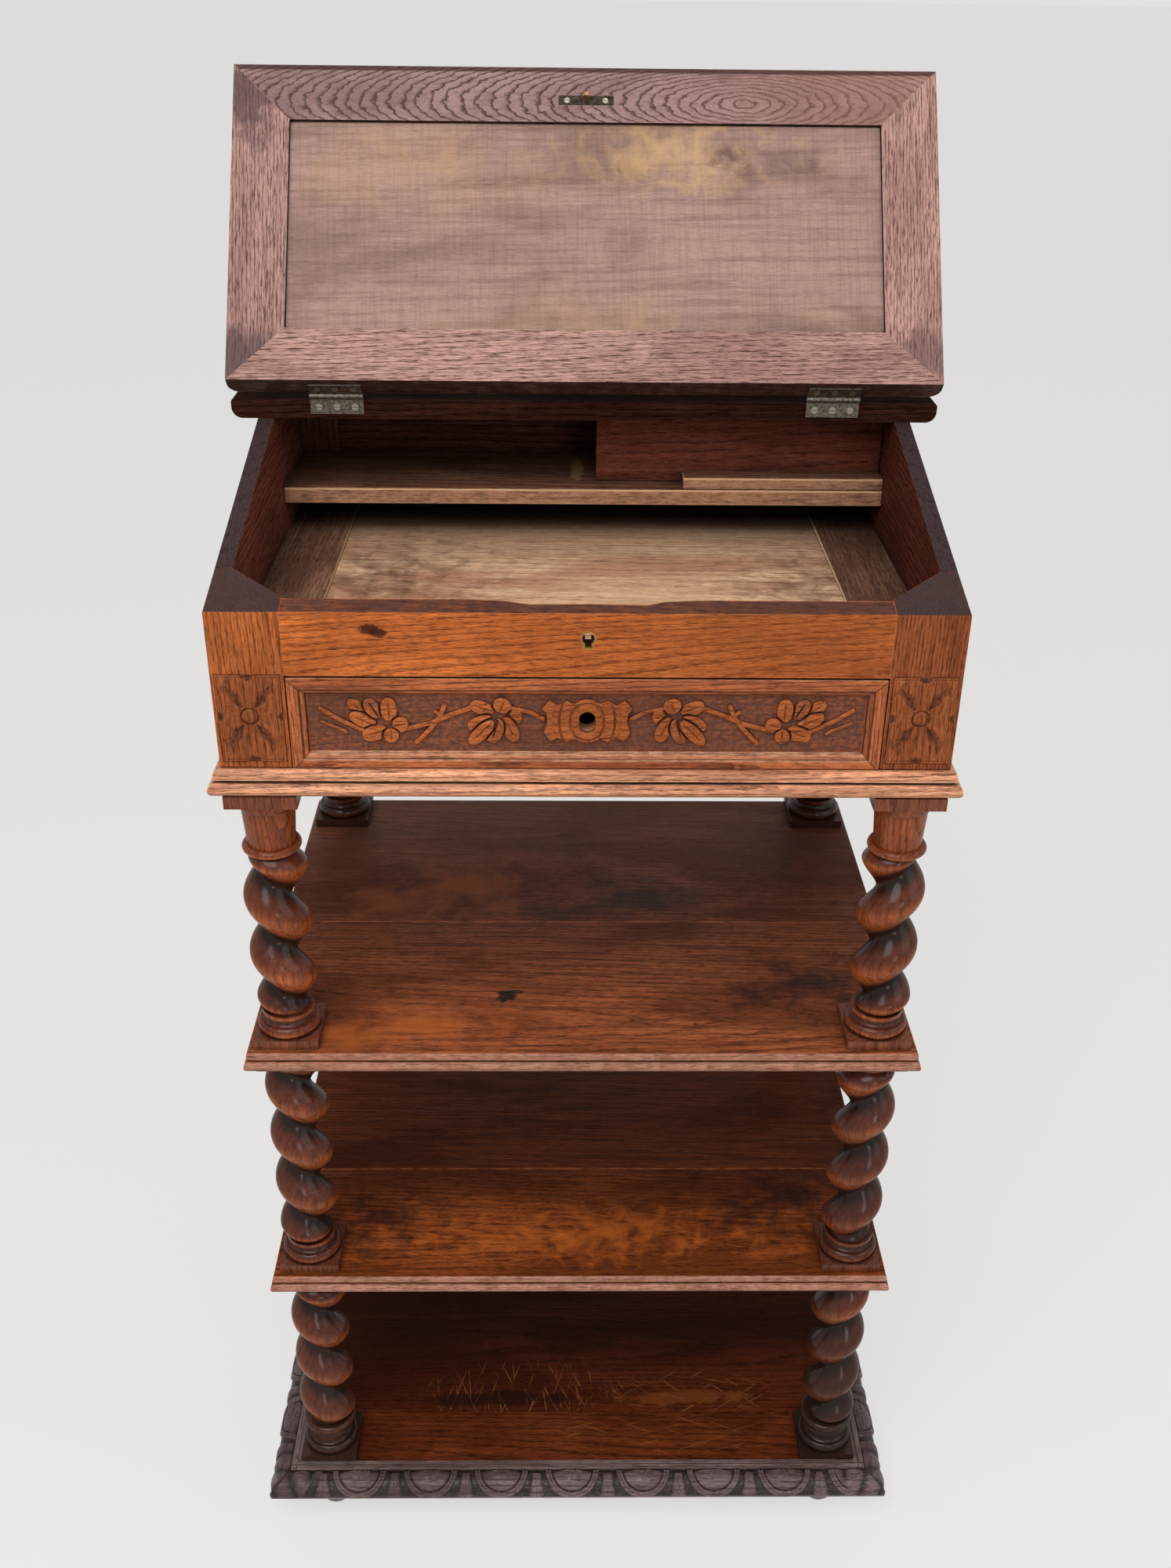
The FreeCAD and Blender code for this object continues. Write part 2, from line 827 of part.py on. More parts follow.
def lid_pieces():
    """Mitred frame, panel, strike plate, pin and plate screws, laid flat and then swung open."""
    bevel = lid_thickness * math.tan(slope)
    square = lid_thickness - lid_edge_round
    side_view = outline(
        lambda y, z: V(-lid_x, y, z),
        (0.0, 0.0),
        (bevel, lid_thickness),
        (lid_edge_round - lid_length, lid_thickness),
        (
            (
                -lid_length + lid_edge_round * (1 - math.cos(math.pi / 4)),
                square + lid_edge_round * math.sin(math.pi / 4),
            ),
            (-lid_length, square),
        ),
        (-lid_length, 0.0),
    )
    end_view = outline(
        lambda out, z: V(lid_x + out, -lid_length, z),
        (-2 * lid_x, 0.0),
        (0.0, 0.0),
        (0.0, square),
        round_corner(0.0, lid_thickness, lid_edge_round, True),
        (-2 * lid_x, lid_thickness),
    )
    right_end = end_view.extrude(V(0, lid_length + bevel, 0))
    left_end = mirrored(right_end)

    open_x = lid_x - lid_stile_width
    open_back = -lid_back_rail_width
    open_front = lid_front_rail_width - lid_length
    opening = box(-open_x, open_x, open_front, open_back, 0.0, lid_thickness)
    tongue_z = lid_thickness / 2 - lid_tongue_thickness / 2
    tongue = box(
        -open_x - panel_tongue, open_x + panel_tongue, open_front - panel_tongue, open_back + panel_tongue,
        tongue_z, tongue_z + lid_tongue_thickness,
    )
    panel = box(-open_x, open_x, open_front, open_back, lid_panel_recess, lid_thickness).fuse(tongue)
    inside = opening.fuse(tongue)

    outside = -open_x - 2 * lid_stile_width
    back_corner = (outside, open_back + 2 * lid_back_rail_width)
    front_corner = (outside, open_front - 2 * lid_front_rail_width)
    mitres = prism_z(
        [(-open_x, open_back), back_corner, front_corner, (-open_x, open_front)], 0.0, lid_thickness
    )
    left_stile = left_end.common(mitres).cut(inside)
    rails = side_view.extrude(V(2 * lid_x, 0, 0)).cut(inside).cut(mitres).cut(mirrored(mitres))
    middle = (open_back + open_front) / 2
    back_rail = rails.common(box(-lid_x, lid_x, middle, lid_length, 0.0, lid_thickness))
    back_rail = back_rail.common(left_end).common(right_end)
    front_rail = rails.common(box(-lid_x, lid_x, -lid_length, middle, 0.0, lid_thickness))

    strike_y = strike_from_front - lid_length
    half_strike = strike_width / 2
    plate = box(
        -strike_length / 2, strike_length / 2, strike_y - half_strike, strike_y + half_strike,
        0.0, strike_thickness,
    )
    pin_length = strike_pin_reach + strike_pin_tail
    pin_tip = V(0, strike_y, -strike_pin_reach)
    pin = Part.makeCylinder(strike_pin_radius, pin_length, pin_tip)
    pin_hole = Part.makeCylinder(strike_pin_radius + pin_gap, pin_length + pin_gap, pin_tip)
    front_rail = front_rail.cut(plate).cut(pin_hole)
    plate = plate.cut(pin_hole)
    screws = []
    for side in (-1, 1):
        place = V(side * strike_screw_spread, strike_y, 0)
        hole = wood_screw(strike_screw_head_radius, strike_screw_length, pin_gap)
        screw = wood_screw(strike_screw_head_radius, strike_screw_length, 0.0)
        screw = slotted(screw, strike_screw_head_radius)
        for shape in (hole, screw):
            shape.rotate(ORIGIN, X_AXIS, 180)
            shape.translate(place)
        front_rail = front_rail.cut(hole)
        plate = plate.cut(hole)
        screws.append(screw)
    flat = {
        "lid_front_rail": [front_rail],
        "lid_back_rail": [back_rail],
        "lid_left_stile": [left_stile],
        "lid_right_stile": [mirrored(left_stile)],
        "lid_panel": [panel.removeSplitter()],
        "strike_plate": [plate],
        "strike_pin": [pin],
        "strike_screws": screws,
    }
    return {name: [laid_on_slope(shape) for shape in shapes] for name, shapes in flat.items()}


def knuckle_barrel(centre_x, index, radius, gap):
    """One knuckle's cylinder on the hinge axis, lengthened by gap at both ends."""
    length = hinge_length / hinge_knuckles
    start = centre_x - hinge_length / 2 + index * length
    return Part.makeCylinder(radius, length + 2 * gap, V(start - gap, hinge_y, hinge_z), X_AXIS)


def hinge_leaf(centre_x, plate, own, other):
    """A leaf plate with its own knuckles, cleared for the other leaf's knuckles and bored for the pin."""
    leaf = plate
    for index in own:
        leaf = leaf.fuse(knuckle_barrel(centre_x, index, hinge_barrel_radius, 0.0))
    for index in other:
        leaf = leaf.cut(knuckle_barrel(centre_x, index, hinge_barrel_radius + knuckle_gap, knuckle_gap / 2))
    bore = Part.makeCylinder(
        hinge_pin_radius + pin_gap, hinge_length, V(centre_x - hinge_length / 2, hinge_y, hinge_z), X_AXIS
    )
    return leaf.removeSplitter().cut(bore)


def hinge_pieces(top_board, lid_back_rail):
    """Both hinges with the lid closed, and the top board and lid rail with their screw holes."""
    outer = range(0, hinge_knuckles, 2)
    inner = range(1, hinge_knuckles, 2)
    lid_corner = lid_back_under + lid_thickness / math.cos(slope)
    pieces = {name: [] for name in ("hinge_fixed_leaves", "hinge_lid_leaves", "hinge_pins",
                                    "hinge_fixed_screws", "hinge_lid_screws")}
    for side in (-1, 1):
        centre = side * hinge_centre_x
        x0 = centre - hinge_length / 2
        x1 = centre + hinge_length / 2
        fixed_plate = box(
            x0, x1, top_front - hinge_leaf_thickness, top_front, top_board_top - hinge_leaf_width, hinge_z
        )
        lid_plate = box(
            x0, x1, lid_back, lid_back + hinge_leaf_thickness, lid_corner - hinge_leaf_width, hinge_z
        )
        fixed_leaf = hinge_leaf(centre, fixed_plate, outer, inner)
        lid_leaf = hinge_leaf(centre, lid_plate, inner, outer)
        for step in (-1, 0, 1):
            x = centre + step * hinge_screw_spacing
            fixed_at = (x, top_front - hinge_leaf_thickness, top_board_top - hinge_leaf_width / 2)
            lid_at = (x, lid_back + hinge_leaf_thickness, lid_corner - hinge_leaf_width / 2)
            front_hole = wood_screw(hinge_screw_head_radius, hinge_screw_length, pin_gap)
            back_hole = front_hole.copy()
            screw = wood_screw(hinge_screw_head_radius, hinge_screw_length, 0.0)
            screw = slotted(screw, hinge_screw_head_radius)
            pieces["hinge_fixed_screws"].append(facing_front(screw.copy(), *fixed_at))
            facing_front(front_hole, *fixed_at)
            fixed_leaf = fixed_leaf.cut(front_hole)
            top_board = top_board.cut(front_hole)
            for shape in (back_hole, screw):
                shape.rotate(ORIGIN, X_AXIS, -90)
                shape.translate(V(*lid_at))
            pieces["hinge_lid_screws"].append(screw)
            lid_leaf = lid_leaf.cut(back_hole)
            lid_back_rail = lid_back_rail.cut(back_hole)
        pieces["hinge_fixed_leaves"].append(fixed_leaf)
        pieces["hinge_lid_leaves"].append(lid_leaf)
        pin = Part.makeCylinder(hinge_pin_radius, hinge_length, V(x0, hinge_y, hinge_z), X_AXIS)
        pieces["hinge_pins"].append(pin)
    return pieces, top_board, lid_back_rail


def top_pieces():
    """Top board, hinges and lid, with everything on the lid swung open."""
    board = moulded_slab(
        top_board_edge(), lid_x, case_back + top_board_back_overhang, top_front,
        case_top, top_board_thickness,
    )
    lid = lid_pieces()
    hinges, board, back_rail = hinge_pieces(board, lid["lid_back_rail"][0])
    lid["lid_back_rail"] = [back_rail]
    for name in ("hinge_lid_leaves", "hinge_lid_screws"):
        lid[name] = hinges.pop(name)
    pieces = {name: [swung_open(shape) for shape in shapes] for name, shapes in lid.items()}
    pieces.update(hinges)
    pieces["top_board"] = board
    return pieces


def all_pieces():
    """Every node's name with its solid or list of solids."""
    pieces = {}
    pieces.update(base_pieces())
    pieces.update(column_pieces())
    pieces.update(shelf_pieces("lower_shelf", lower_shelf_under, lower_shelf_front_board))
    pieces.update(shelf_pieces("upper_shelf", upper_shelf_under, upper_shelf_front_board))
    pieces.update(case_pieces())
    pieces.update(well_pieces())
    pieces.update(drawer_pieces())
    pieces.update(inner_drawer_pieces())
    pieces.update(top_pieces())
    return pieces


base_middle = (base_front + back_y) / 2
os.makedirs("parts", exist_ok=True)
for node, content in all_pieces().items():
    shapes = content if isinstance(content, list) else [content]
    solids = [solid for shape in shapes for solid in shape.Solids]
    whole = solids[0] if len(solids) == 1 else Part.makeCompound(solids)
    whole.translate(V(0, -base_middle, 0))
    whole.exportStep(f"parts/{node}.step")
    size = whole.BoundBox
    print(
        f"{node}: {len(solids)} solid(s), valid {whole.isValid()}, volume {whole.Volume:.0f}, "
        f"x {size.XMin:.1f} {size.XMax:.1f}, y {size.YMin:.1f} {size.YMax:.1f}, "
        f"z {size.ZMin:.1f} {size.ZMax:.1f}"
    )
print(f"hinge axis y {hinge_y - base_middle:.3f} z {hinge_z:.3f}, moved by {-base_middle:.3f} along y")
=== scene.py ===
# %% [markdown]
# # A standing writing desk on twist columns
# The desk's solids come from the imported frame, already in place and in metres. This lesson gives
# them their finishes, adds the carving that a carver would cut last, and sets the camera and the light.

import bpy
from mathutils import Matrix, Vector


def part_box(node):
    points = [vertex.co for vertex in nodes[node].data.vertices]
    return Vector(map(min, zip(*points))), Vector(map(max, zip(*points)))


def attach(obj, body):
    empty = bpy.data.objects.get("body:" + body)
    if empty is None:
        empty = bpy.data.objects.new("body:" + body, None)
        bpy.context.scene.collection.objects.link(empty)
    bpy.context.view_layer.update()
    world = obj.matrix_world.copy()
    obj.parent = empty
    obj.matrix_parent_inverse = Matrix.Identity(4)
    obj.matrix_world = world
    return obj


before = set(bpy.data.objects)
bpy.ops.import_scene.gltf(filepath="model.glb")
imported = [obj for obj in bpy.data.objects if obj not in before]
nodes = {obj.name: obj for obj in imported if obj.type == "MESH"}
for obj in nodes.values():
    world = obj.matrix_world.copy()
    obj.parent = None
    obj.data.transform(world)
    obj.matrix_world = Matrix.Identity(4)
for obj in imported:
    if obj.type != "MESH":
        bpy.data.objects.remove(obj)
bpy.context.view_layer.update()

# %% [markdown]
# ## Camera
# The camera stands where a person with a phone would stand: a little above the desk, looking down.
# Its place, its lens and its three turns were fitted to the floor and to the desk's own corners.
# The turns are written as pitch, yaw and roll, because those are easy to picture and to adjust.

# %% Camera
import math
import bpy
from mathutils import Matrix, Vector

scene = bpy.context.scene
scene.view_settings.view_transform = "Standard"

camera_place = Vector((-0.0218, -1.36785, 1.5534))
pitch, yaw, roll = (math.radians(angle) for angle in (28.62, 1.04, 0.68))
ahead = Vector((math.sin(yaw) * math.cos(pitch), math.cos(yaw) * math.cos(pitch), -math.sin(pitch)))
level = Vector((math.cos(yaw), -math.sin(yaw), 0.0))
upright = level.cross(ahead)
right = level * math.cos(roll) + upright * math.sin(roll)
above = upright * math.cos(roll) - level * math.sin(roll)

camera_data = bpy.data.cameras.new("photo_camera")
camera_data.lens = 35.07
camera_data.sensor_width = 36.0
camera_data.clip_start = 0.05
camera_data.clip_end = 200.0
camera = bpy.data.objects.new("photo_camera", camera_data)
turn = Matrix((right, above, -ahead)).transposed().to_4x4()
camera.matrix_world = Matrix.Translation(camera_place) @ turn
scene.collection.objects.link(camera)
scene.camera = camera
print("camera at", [round(c, 3) for c in camera_place], "lens", camera_data.lens)

# %% [markdown]
# ## Colours
# Colours are easiest to judge as the 0 to 255 values of a screen, while the shader wants linear light.
# One small function turns the first into the second. A second function makes a colour lighter or darker by
# three factors, which is how most of the wood's shades are found from one another.

# %% Colours
def paint(red, green, blue):
    linear = []
    for value in (red, green, blue):
        share = value / 255
        linear.append(share / 12.92 if share <= 0.04045 else ((share + 0.055) / 1.055) ** 2.4)
    return (*linear, 1.0)


def tone(colour, factors):
    return (*(min(1.0, c * f) for c, f in zip(colour, factors)), 1.0)


print("middle grey is", round(paint(119, 119, 119)[0], 3), "in linear light")

# %% [markdown]
# ## Node helpers
# A finish is a chain of small nodes. One helper adds a node of any kind and fills its inputs. The others each
# add one kind and hand back its output, so that a recipe further down reads almost like a formula.

# %% Node helpers
def plug(tree, value, socket):
    if isinstance(value, bpy.types.NodeSocket):
        tree.links.new(value, socket)
    else:
        socket.default_value = value


def add_node(tree, kind, values=(), **settings):
    """Outputs of a new node; values fill its inputs in their order, or by label if they are a dictionary."""
    node = tree.nodes.new("ShaderNode" + kind)
    for label, setting in settings.items():
        setattr(node, label, setting)
    for key, value in values.items() if isinstance(values, dict) else enumerate(values):
        plug(tree, value, node.inputs[key])
    return node.outputs


def calc(tree, operation, *values):
    return add_node(tree, "Math", values, operation=operation)[0]


def calc_vector(tree, operation, *values):
    return add_node(tree, "VectorMath", values, operation=operation)


def stretch(tree, vector, factors):
    return calc_vector(tree, "MULTIPLY", vector, factors)["Vector"]


def noise(tree, vector, scale, detail=2.0, roughness=0.5, distortion=0.0):
    values = {"Vector": vector, "Scale": scale, "Detail": detail}
    values.update({"Roughness": roughness, "Distortion": distortion})
    return add_node(tree, "TexNoise", values)[0]


def ease(tree, value, start, end, low=0.0, high=1.0):
    values = (value, start, end, low, high)
    return add_node(tree, "MapRange", values, interpolation_type="SMOOTHSTEP")["Result"]


def mix(tree, share, first, second):
    return add_node(tree, "Mix", {0: share, 6: first, 7: second}, data_type="RGBA")[2]


def parts(tree, vector):
    return add_node(tree, "SeparateXYZ", (vector,))


def join(tree, *values):
    return add_node(tree, "CombineXYZ", values)[0]


print("node helpers ready")

# %% [markdown]
# ## Materials and groups
# A new material comes with one Principled BSDF, whose inputs are filled by their labels. What many materials
# share goes into a node group, which has inputs and outputs of its own.

# %% Materials and groups
def new_material(name):
    material = bpy.data.materials.new(name)
    material.use_nodes = True
    return material, material.node_tree


def set_shader(tree, values):
    for label, value in values.items():
        plug(tree, value, tree.nodes["Principled BSDF"].inputs[label])


def node_group(name, inputs, outputs):
    tree = bpy.data.node_groups.new(name, "ShaderNodeTree")
    for label, default in inputs.items():
        kind = "NodeSocketVector" if default is None else "NodeSocketFloat"
        socket = tree.interface.new_socket(label, in_out="INPUT", socket_type=kind)
        if default is not None:
            socket.default_value = default
    for label in outputs:
        tree.interface.new_socket(label, in_out="OUTPUT", socket_type="NodeSocketFloat")
    return tree, tree.nodes.new("NodeGroupInput").outputs, tree.nodes.new("NodeGroupOutput").inputs


def place_group(tree, group, **values):
    by_label = {label.replace("_", " "): value for label, value in values.items()}
    return add_node(tree, "Group", by_label, node_tree=group)


def frame_place(tree):
    return add_node(tree, "TexCoord")["Object"]


def dress(node_name, material):
    mesh = nodes[node_name].data
    mesh.materials.clear()
    mesh.materials.append(material)


print("material helpers ready")

# %% [markdown]
# ## Floor
# The desk stands on a plain pale floor that runs to the horizon, so that the same floor fills every view.
# A floor that only sends back the sky's light would look grey, so a part of it glows, but just for rays that
# come from the camera, from a shiny surface or through glass. The Light Path node tells those rays from the
# light that falls on the desk, which keeps its true strength.

# %% Floor
def looked_at(tree):
    """1 for what is seen, straight or by way of a mirror or glass, and 0 for light that falls on the desk."""
    path = add_node(tree, "LightPath")
    straight_or_mirrored = calc(tree, "MAXIMUM", path["Is Camera Ray"], path["Is Glossy Ray"])
    return calc(tree, "MAXIMUM", straight_or_mirrored, path["Is Transmission Ray"])


floor_reach = 60.0
floor_corners = [(x * floor_reach, y * floor_reach, 0) for x, y in ((-1, -1), (1, -1), (1, 1), (-1, 1))]
floor_mesh = bpy.data.meshes.new("floor")
floor_mesh.from_pydata(floor_corners, [], [(0, 1, 2, 3)])
floor = bpy.data.objects.new("floor", floor_mesh)
scene.collection.objects.link(floor)
floor_material, tree = new_material("pale_floor")
set_shader(tree, {"Base Color": paint(236, 231, 224), "Roughness": 0.8})
glow_share = 0.66
glow = add_node(tree, "Emission", {"Color": paint(248, 247, 245)})
glowing = calc(tree, "MULTIPLY", looked_at(tree), glow_share)
seen = add_node(tree, "MixShader", (glowing, tree.nodes["Principled BSDF"].outputs[0], glow[0]))
tree.links.new(seen[0], tree.nodes["Material Output"].inputs["Surface"])
floor_mesh.materials.append(floor_material)
print("floor reaches", floor_reach, "m each way")

# %% [markdown]
# ## Sky and lamps
# The light is that of a bright, cloudy day: an even sky all round, one wide soft lamp above and in front, and
# a weaker one at the right. The sky that is seen is paler than its light, as with the floor. A third lamp is
# smaller. It adds little light, but waxed wood mirrors it, which gives the turned columns bright streaks.

# %% Sky and lamps
world = bpy.data.worlds.new("cloudy_sky")
world.use_nodes = True
tree = world.node_tree
sky = tree.nodes["Background"]
sky.inputs["Color"].default_value = paint(238, 241, 246)
sky.inputs["Strength"].default_value = 0.36
far_sky = add_node(tree, "Background", {"Color": paint(226, 225, 223)})
seen = add_node(tree, "MixShader", (looked_at(tree), sky.outputs[0], far_sky[0]))
tree.links.new(seen[0], tree.nodes["World Output"].inputs["Surface"])
scene.world = world


def soft_lamp(name, place, aim, width, power):
    data = bpy.data.lights.new(name, "AREA")
    data.shape = "DISK"
    data.size = width
    data.energy = power
    lamp = bpy.data.objects.new(name, data)
    lamp.location = place
    lamp.rotation_euler = (Vector(aim) - Vector(place)).to_track_quat("-Z", "Y").to_euler()
    scene.collection.objects.link(lamp)
    return lamp


lamps = [
    soft_lamp("cloud_above", (-0.7, -1.9, 3.3), (0.0, 0.0, 0.9), 2.4, 66.0),
    soft_lamp("cloud_right", (2.6, -1.4, 2.2), (0.0, 0.0, 0.8), 2.2, 14.0),
    soft_lamp("bright_gap", (1.1, -3.4, 1.7), (0.0, 0.0, 0.5), 0.9, 9.0),
]
print("lamps:", [(lamp.name, lamp.data.energy) for lamp in lamps])

# %% [markdown]
# ## Oak grain
# Oak shows year rings, and in each ring a band of open pores that look like dark dashes along the grain.
# The group takes a place with X along the grain and the tree's heart on the X axis. Rings are then simply
# the distance from that axis, made to wander by a slow noise, and pores are a noise drawn out along X.

# %% Oak grain
oak_grain, given, made = node_group(
    "oak_grain",
    {"Vector": None, "Ring Spacing": 0.006, "Wander": 0.02, "Pore Width": 0.001, "Arch": 0.0, "Jag": 0.5},
    ("Rings", "Pores", "Fibre", "Patches"),
)
along, across, through = parts(oak_grain, given["Vector"])
slow = noise(oak_grain, stretch(oak_grain, given["Vector"], (0.14, 1.0, 1.0)), 11.0, 3.0, 0.55)
drift = calc(oak_grain, "MULTIPLY", calc(oak_grain, "SUBTRACT", slow, 0.5), given["Wander"])
across_square = calc(oak_grain, "POWER", across, 2.0)
squares = calc(oak_grain, "ADD", across_square, calc(oak_grain, "POWER", through, 2.0))
arched = calc(oak_grain, "MULTIPLY", across_square, given["Arch"])
from_heart = calc(oak_grain, "ADD", calc(oak_grain, "ADD", calc(oak_grain, "SQRT", squares), drift), arched)
jag = noise(oak_grain, stretch(oak_grain, given["Vector"], (0.5, 1.0, 1.0)), 150.0, 2.0, 0.6)
jagged = calc(oak_grain, "MULTIPLY", jag, given["Jag"])
year_count = calc(oak_grain, "ADD", calc(oak_grain, "DIVIDE", from_heart, given["Ring Spacing"]), jagged)
year = calc(oak_grain, "FRACT", year_count)
rings = calc(
    oak_grain, "MULTIPLY", ease(oak_grain, year, 0.05, 0.45, 1.0, 0.0), ease(oak_grain, year, 0.0, 0.05)
)


def dashes(width_share, length, low, high):
    width = calc(oak_grain, "MULTIPLY", given["Pore Width"], width_share)
    place = join(
        oak_grain,
        calc(oak_grain, "DIVIDE", along, calc(oak_grain, "MULTIPLY", width, length)),
        calc(oak_grain, "DIVIDE", across, width),
        calc(oak_grain, "DIVIDE", through, width),
    )
    return ease(oak_grain, noise(oak_grain, place, 1.0, 2.0, 0.6), low, high)


porous = calc(oak_grain, "ADD", calc(oak_grain, "MULTIPLY", rings, 0.7), 0.3)
wide = calc(oak_grain, "MULTIPLY", dashes(1.0, 13.0, 0.51, 0.59), porous)
fine = calc(oak_grain, "MULTIPLY", dashes(0.5, 18.0, 0.53, 0.62), 0.8)
oak_grain.links.new(rings, made["Rings"])
oak_grain.links.new(calc(oak_grain, "MAXIMUM", wide, fine), made["Pores"])
fibre_place = stretch(oak_grain, given["Vector"], (0.04, 1.0, 1.0))
oak_grain.links.new(noise(oak_grain, fibre_place, 210.0, 5.0, 0.65), made["Fibre"])
patch_place = stretch(oak_grain, given["Vector"], (0.4, 1.0, 1.0))
oak_grain.links.new(noise(oak_grain, patch_place, 11.0, 5.0, 0.62, 0.5), made["Patches"])
print("group", oak_grain.name, "has", len(oak_grain.nodes), "nodes")

# %% [markdown]
# ## Wear, dirt and painted shade
# A century of hands and dusters wears the wax from outside edges and packs dirt into inside corners, and the
# corners also get painted shade.
# The Bevel node gives a normal that is bent near an edge: where it parts from the true normal, there is an
# edge. Ambient occlusion finds the corners.

# %% Wear, dirt and painted shade
wear, given, made = node_group(
    "wear_dirt_and_shade", {"Edge Width": 0.002, "Corner Reach": 0.02}, ("Edge", "Corner")
)
rounded = add_node(wear, "Bevel", {"Radius": given["Edge Width"]}, samples=4)
surface = add_node(wear, "NewGeometry")
agree = calc_vector(wear, "DOT_PRODUCT", rounded["Normal"], surface["Normal"])["Value"]
wear.links.new(ease(wear, agree, 0.80, 0.995, 1.0, 0.0), made["Edge"])
shelter = add_node(wear, "AmbientOcclusion", {"Distance": given["Corner Reach"]}, samples=4)
wear.links.new(calc(wear, "SUBTRACT", 1.0, shelter["AO"]), made["Corner"])
print("group", wear.name, "has", len(wear.nodes), "nodes")

# %% [markdown]
# ## Where a board lies in its tree
# Every board gets its own material, so that no two boards share a grain, but all are made by one recipe.
# The Mapping node turns the desk's frame so that X runs along the board, and sets how far and to which side
# the tree's heart lies. A small tilt lets the rings run out of the board's face, as a saw seldom follows
# them exactly.

# %% Board place
grain_turns = {
    "x": (0.0, 0.0, 0.0),
    "y": (0.0, 0.0, -90.0),
    "z": (0.0, 90.0, 0.0),
    "lid_x": (125.0, 0.0, 0.0),
    "lid_y": (125.0, 0.0, -90.0),
}


def board_space(tree, node_name, grain, heart, tilt=(0.0, 1.0, 1.0)):
    """The board's own place: X along the grain, its middle a heart's offset away from the axis."""
    low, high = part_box(node_name)
    angles = [math.radians(a + b) for a, b in zip(grain_turns[grain], tilt)]
    turned = Matrix.Identity(3)
    for axis, angle in zip("XYZ", angles):
        turned = Matrix.Rotation(angle, 3, axis) @ turned
    moved = Vector(heart) - turned @ ((low + high) / 2)
    return add_node(tree, "Mapping", (frame_place(tree), moved, angles))[0]


print("boards can lie in", len(grain_turns), "directions")

# %% [markdown]
# ## Oak colour
# The grain group only gives masks. Here they become colours: light late wood, dark early wood in the rings,
# fibres that vary between the two, stained patches, and dark pores on top. The lid's panel also has faint
# lines across its grain, like a weave, which one more stretched noise gives.

# %% Oak colour
def oak_colour(tree, place, finish):
    """Wood colour, pore mask and patch mask at a place along the grain."""
    grain = place_group(
        tree, oak_grain, Vector=place, Ring_Spacing=finish["spacing"], Wander=finish["wander"],
        Pore_Width=finish["pore_width"], Arch=finish["arch"], Jag=finish["jag"],
    )
    early = calc(tree, "MULTIPLY", grain["Rings"], finish["figure"])
    wood = mix(tree, early, finish["light"], finish["dark"])
    wood = mix(tree, ease(tree, grain["Fibre"], 0.46, 0.62, 0.0, finish["fibre"]), wood, finish["dark"])
    wood = mix(tree, ease(tree, grain["Fibre"], 0.30, 0.44, finish["fibre"], 0.0), wood, finish["light"])
    patch = ease(tree, grain["Patches"], 0.42, 0.64)
    wood = mix(tree, calc(tree, "MULTIPLY", patch, finish["patchy"]), wood, finish["stain"])
    wood = mix(tree, calc(tree, "MULTIPLY", grain["Pores"], finish["pores"]), wood, finish["pore"])
    if "weave" in finish:
        hatch = ease(tree, noise(tree, stretch(tree, place, (1.0, 0.04, 1.0)), 420.0, 3.0, 0.6), 0.42, 0.66)
        wood = mix(tree, calc(tree, "MULTIPLY", hatch, finish["weave"]), wood, finish["dark"])
    return wood, grain["Pores"], patch


print("oak colour ready")

# %% [markdown]
# ## Stains and scratches
# Ink, damp and hard use leave spots. A spot is the distance from its middle, stretched to its size, with a
# noise added so that its edge is ragged. Scratches are a noise drawn out into thin lines at a few angles,
# and they show only inside such a spot.

# %% Stains and scratches
def mark(tree, wood, at, size, colour, share=1.0, ragged=0.6, scale=60.0, core=0.55, scratched=()):
    """A stain with a ragged edge round a point of the frame, or scratches at some angles inside it."""
    from_middle = calc_vector(tree, "SUBTRACT", frame_place(tree), at)["Vector"]
    reach = calc_vector(tree, "LENGTH", stretch(tree, from_middle, [1.0 / s for s in size]))["Value"]
    blur = calc(tree, "SUBTRACT", noise(tree, from_middle, scale, 4.0, 0.6, 0.6), 0.5)
    edge = calc(tree, "ADD", reach, calc(tree, "MULTIPLY", blur, 2.0 * ragged))
    mask = ease(tree, edge, core, 1.0, share, 0.0)
    strokes = None
    for angle in scratched:
        values = {"Vector": from_middle, "Rotation": (0.0, 0.0, math.radians(angle))}
        turned = add_node(tree, "Mapping", values)[0]
        streak = noise(tree, stretch(tree, turned, (14.0, 420.0, 14.0)), 1.0, 2.0, 0.5, 0.6)
        thin = ease(tree, streak, 0.63, 0.70)
        strokes = thin if strokes is None else calc(tree, "MAXIMUM", strokes, thin)
    if scratched:
        mask = calc(tree, "MULTIPLY", mask, strokes)
    return mix(tree, mask, wood, colour)


print("stains and scratches ready")
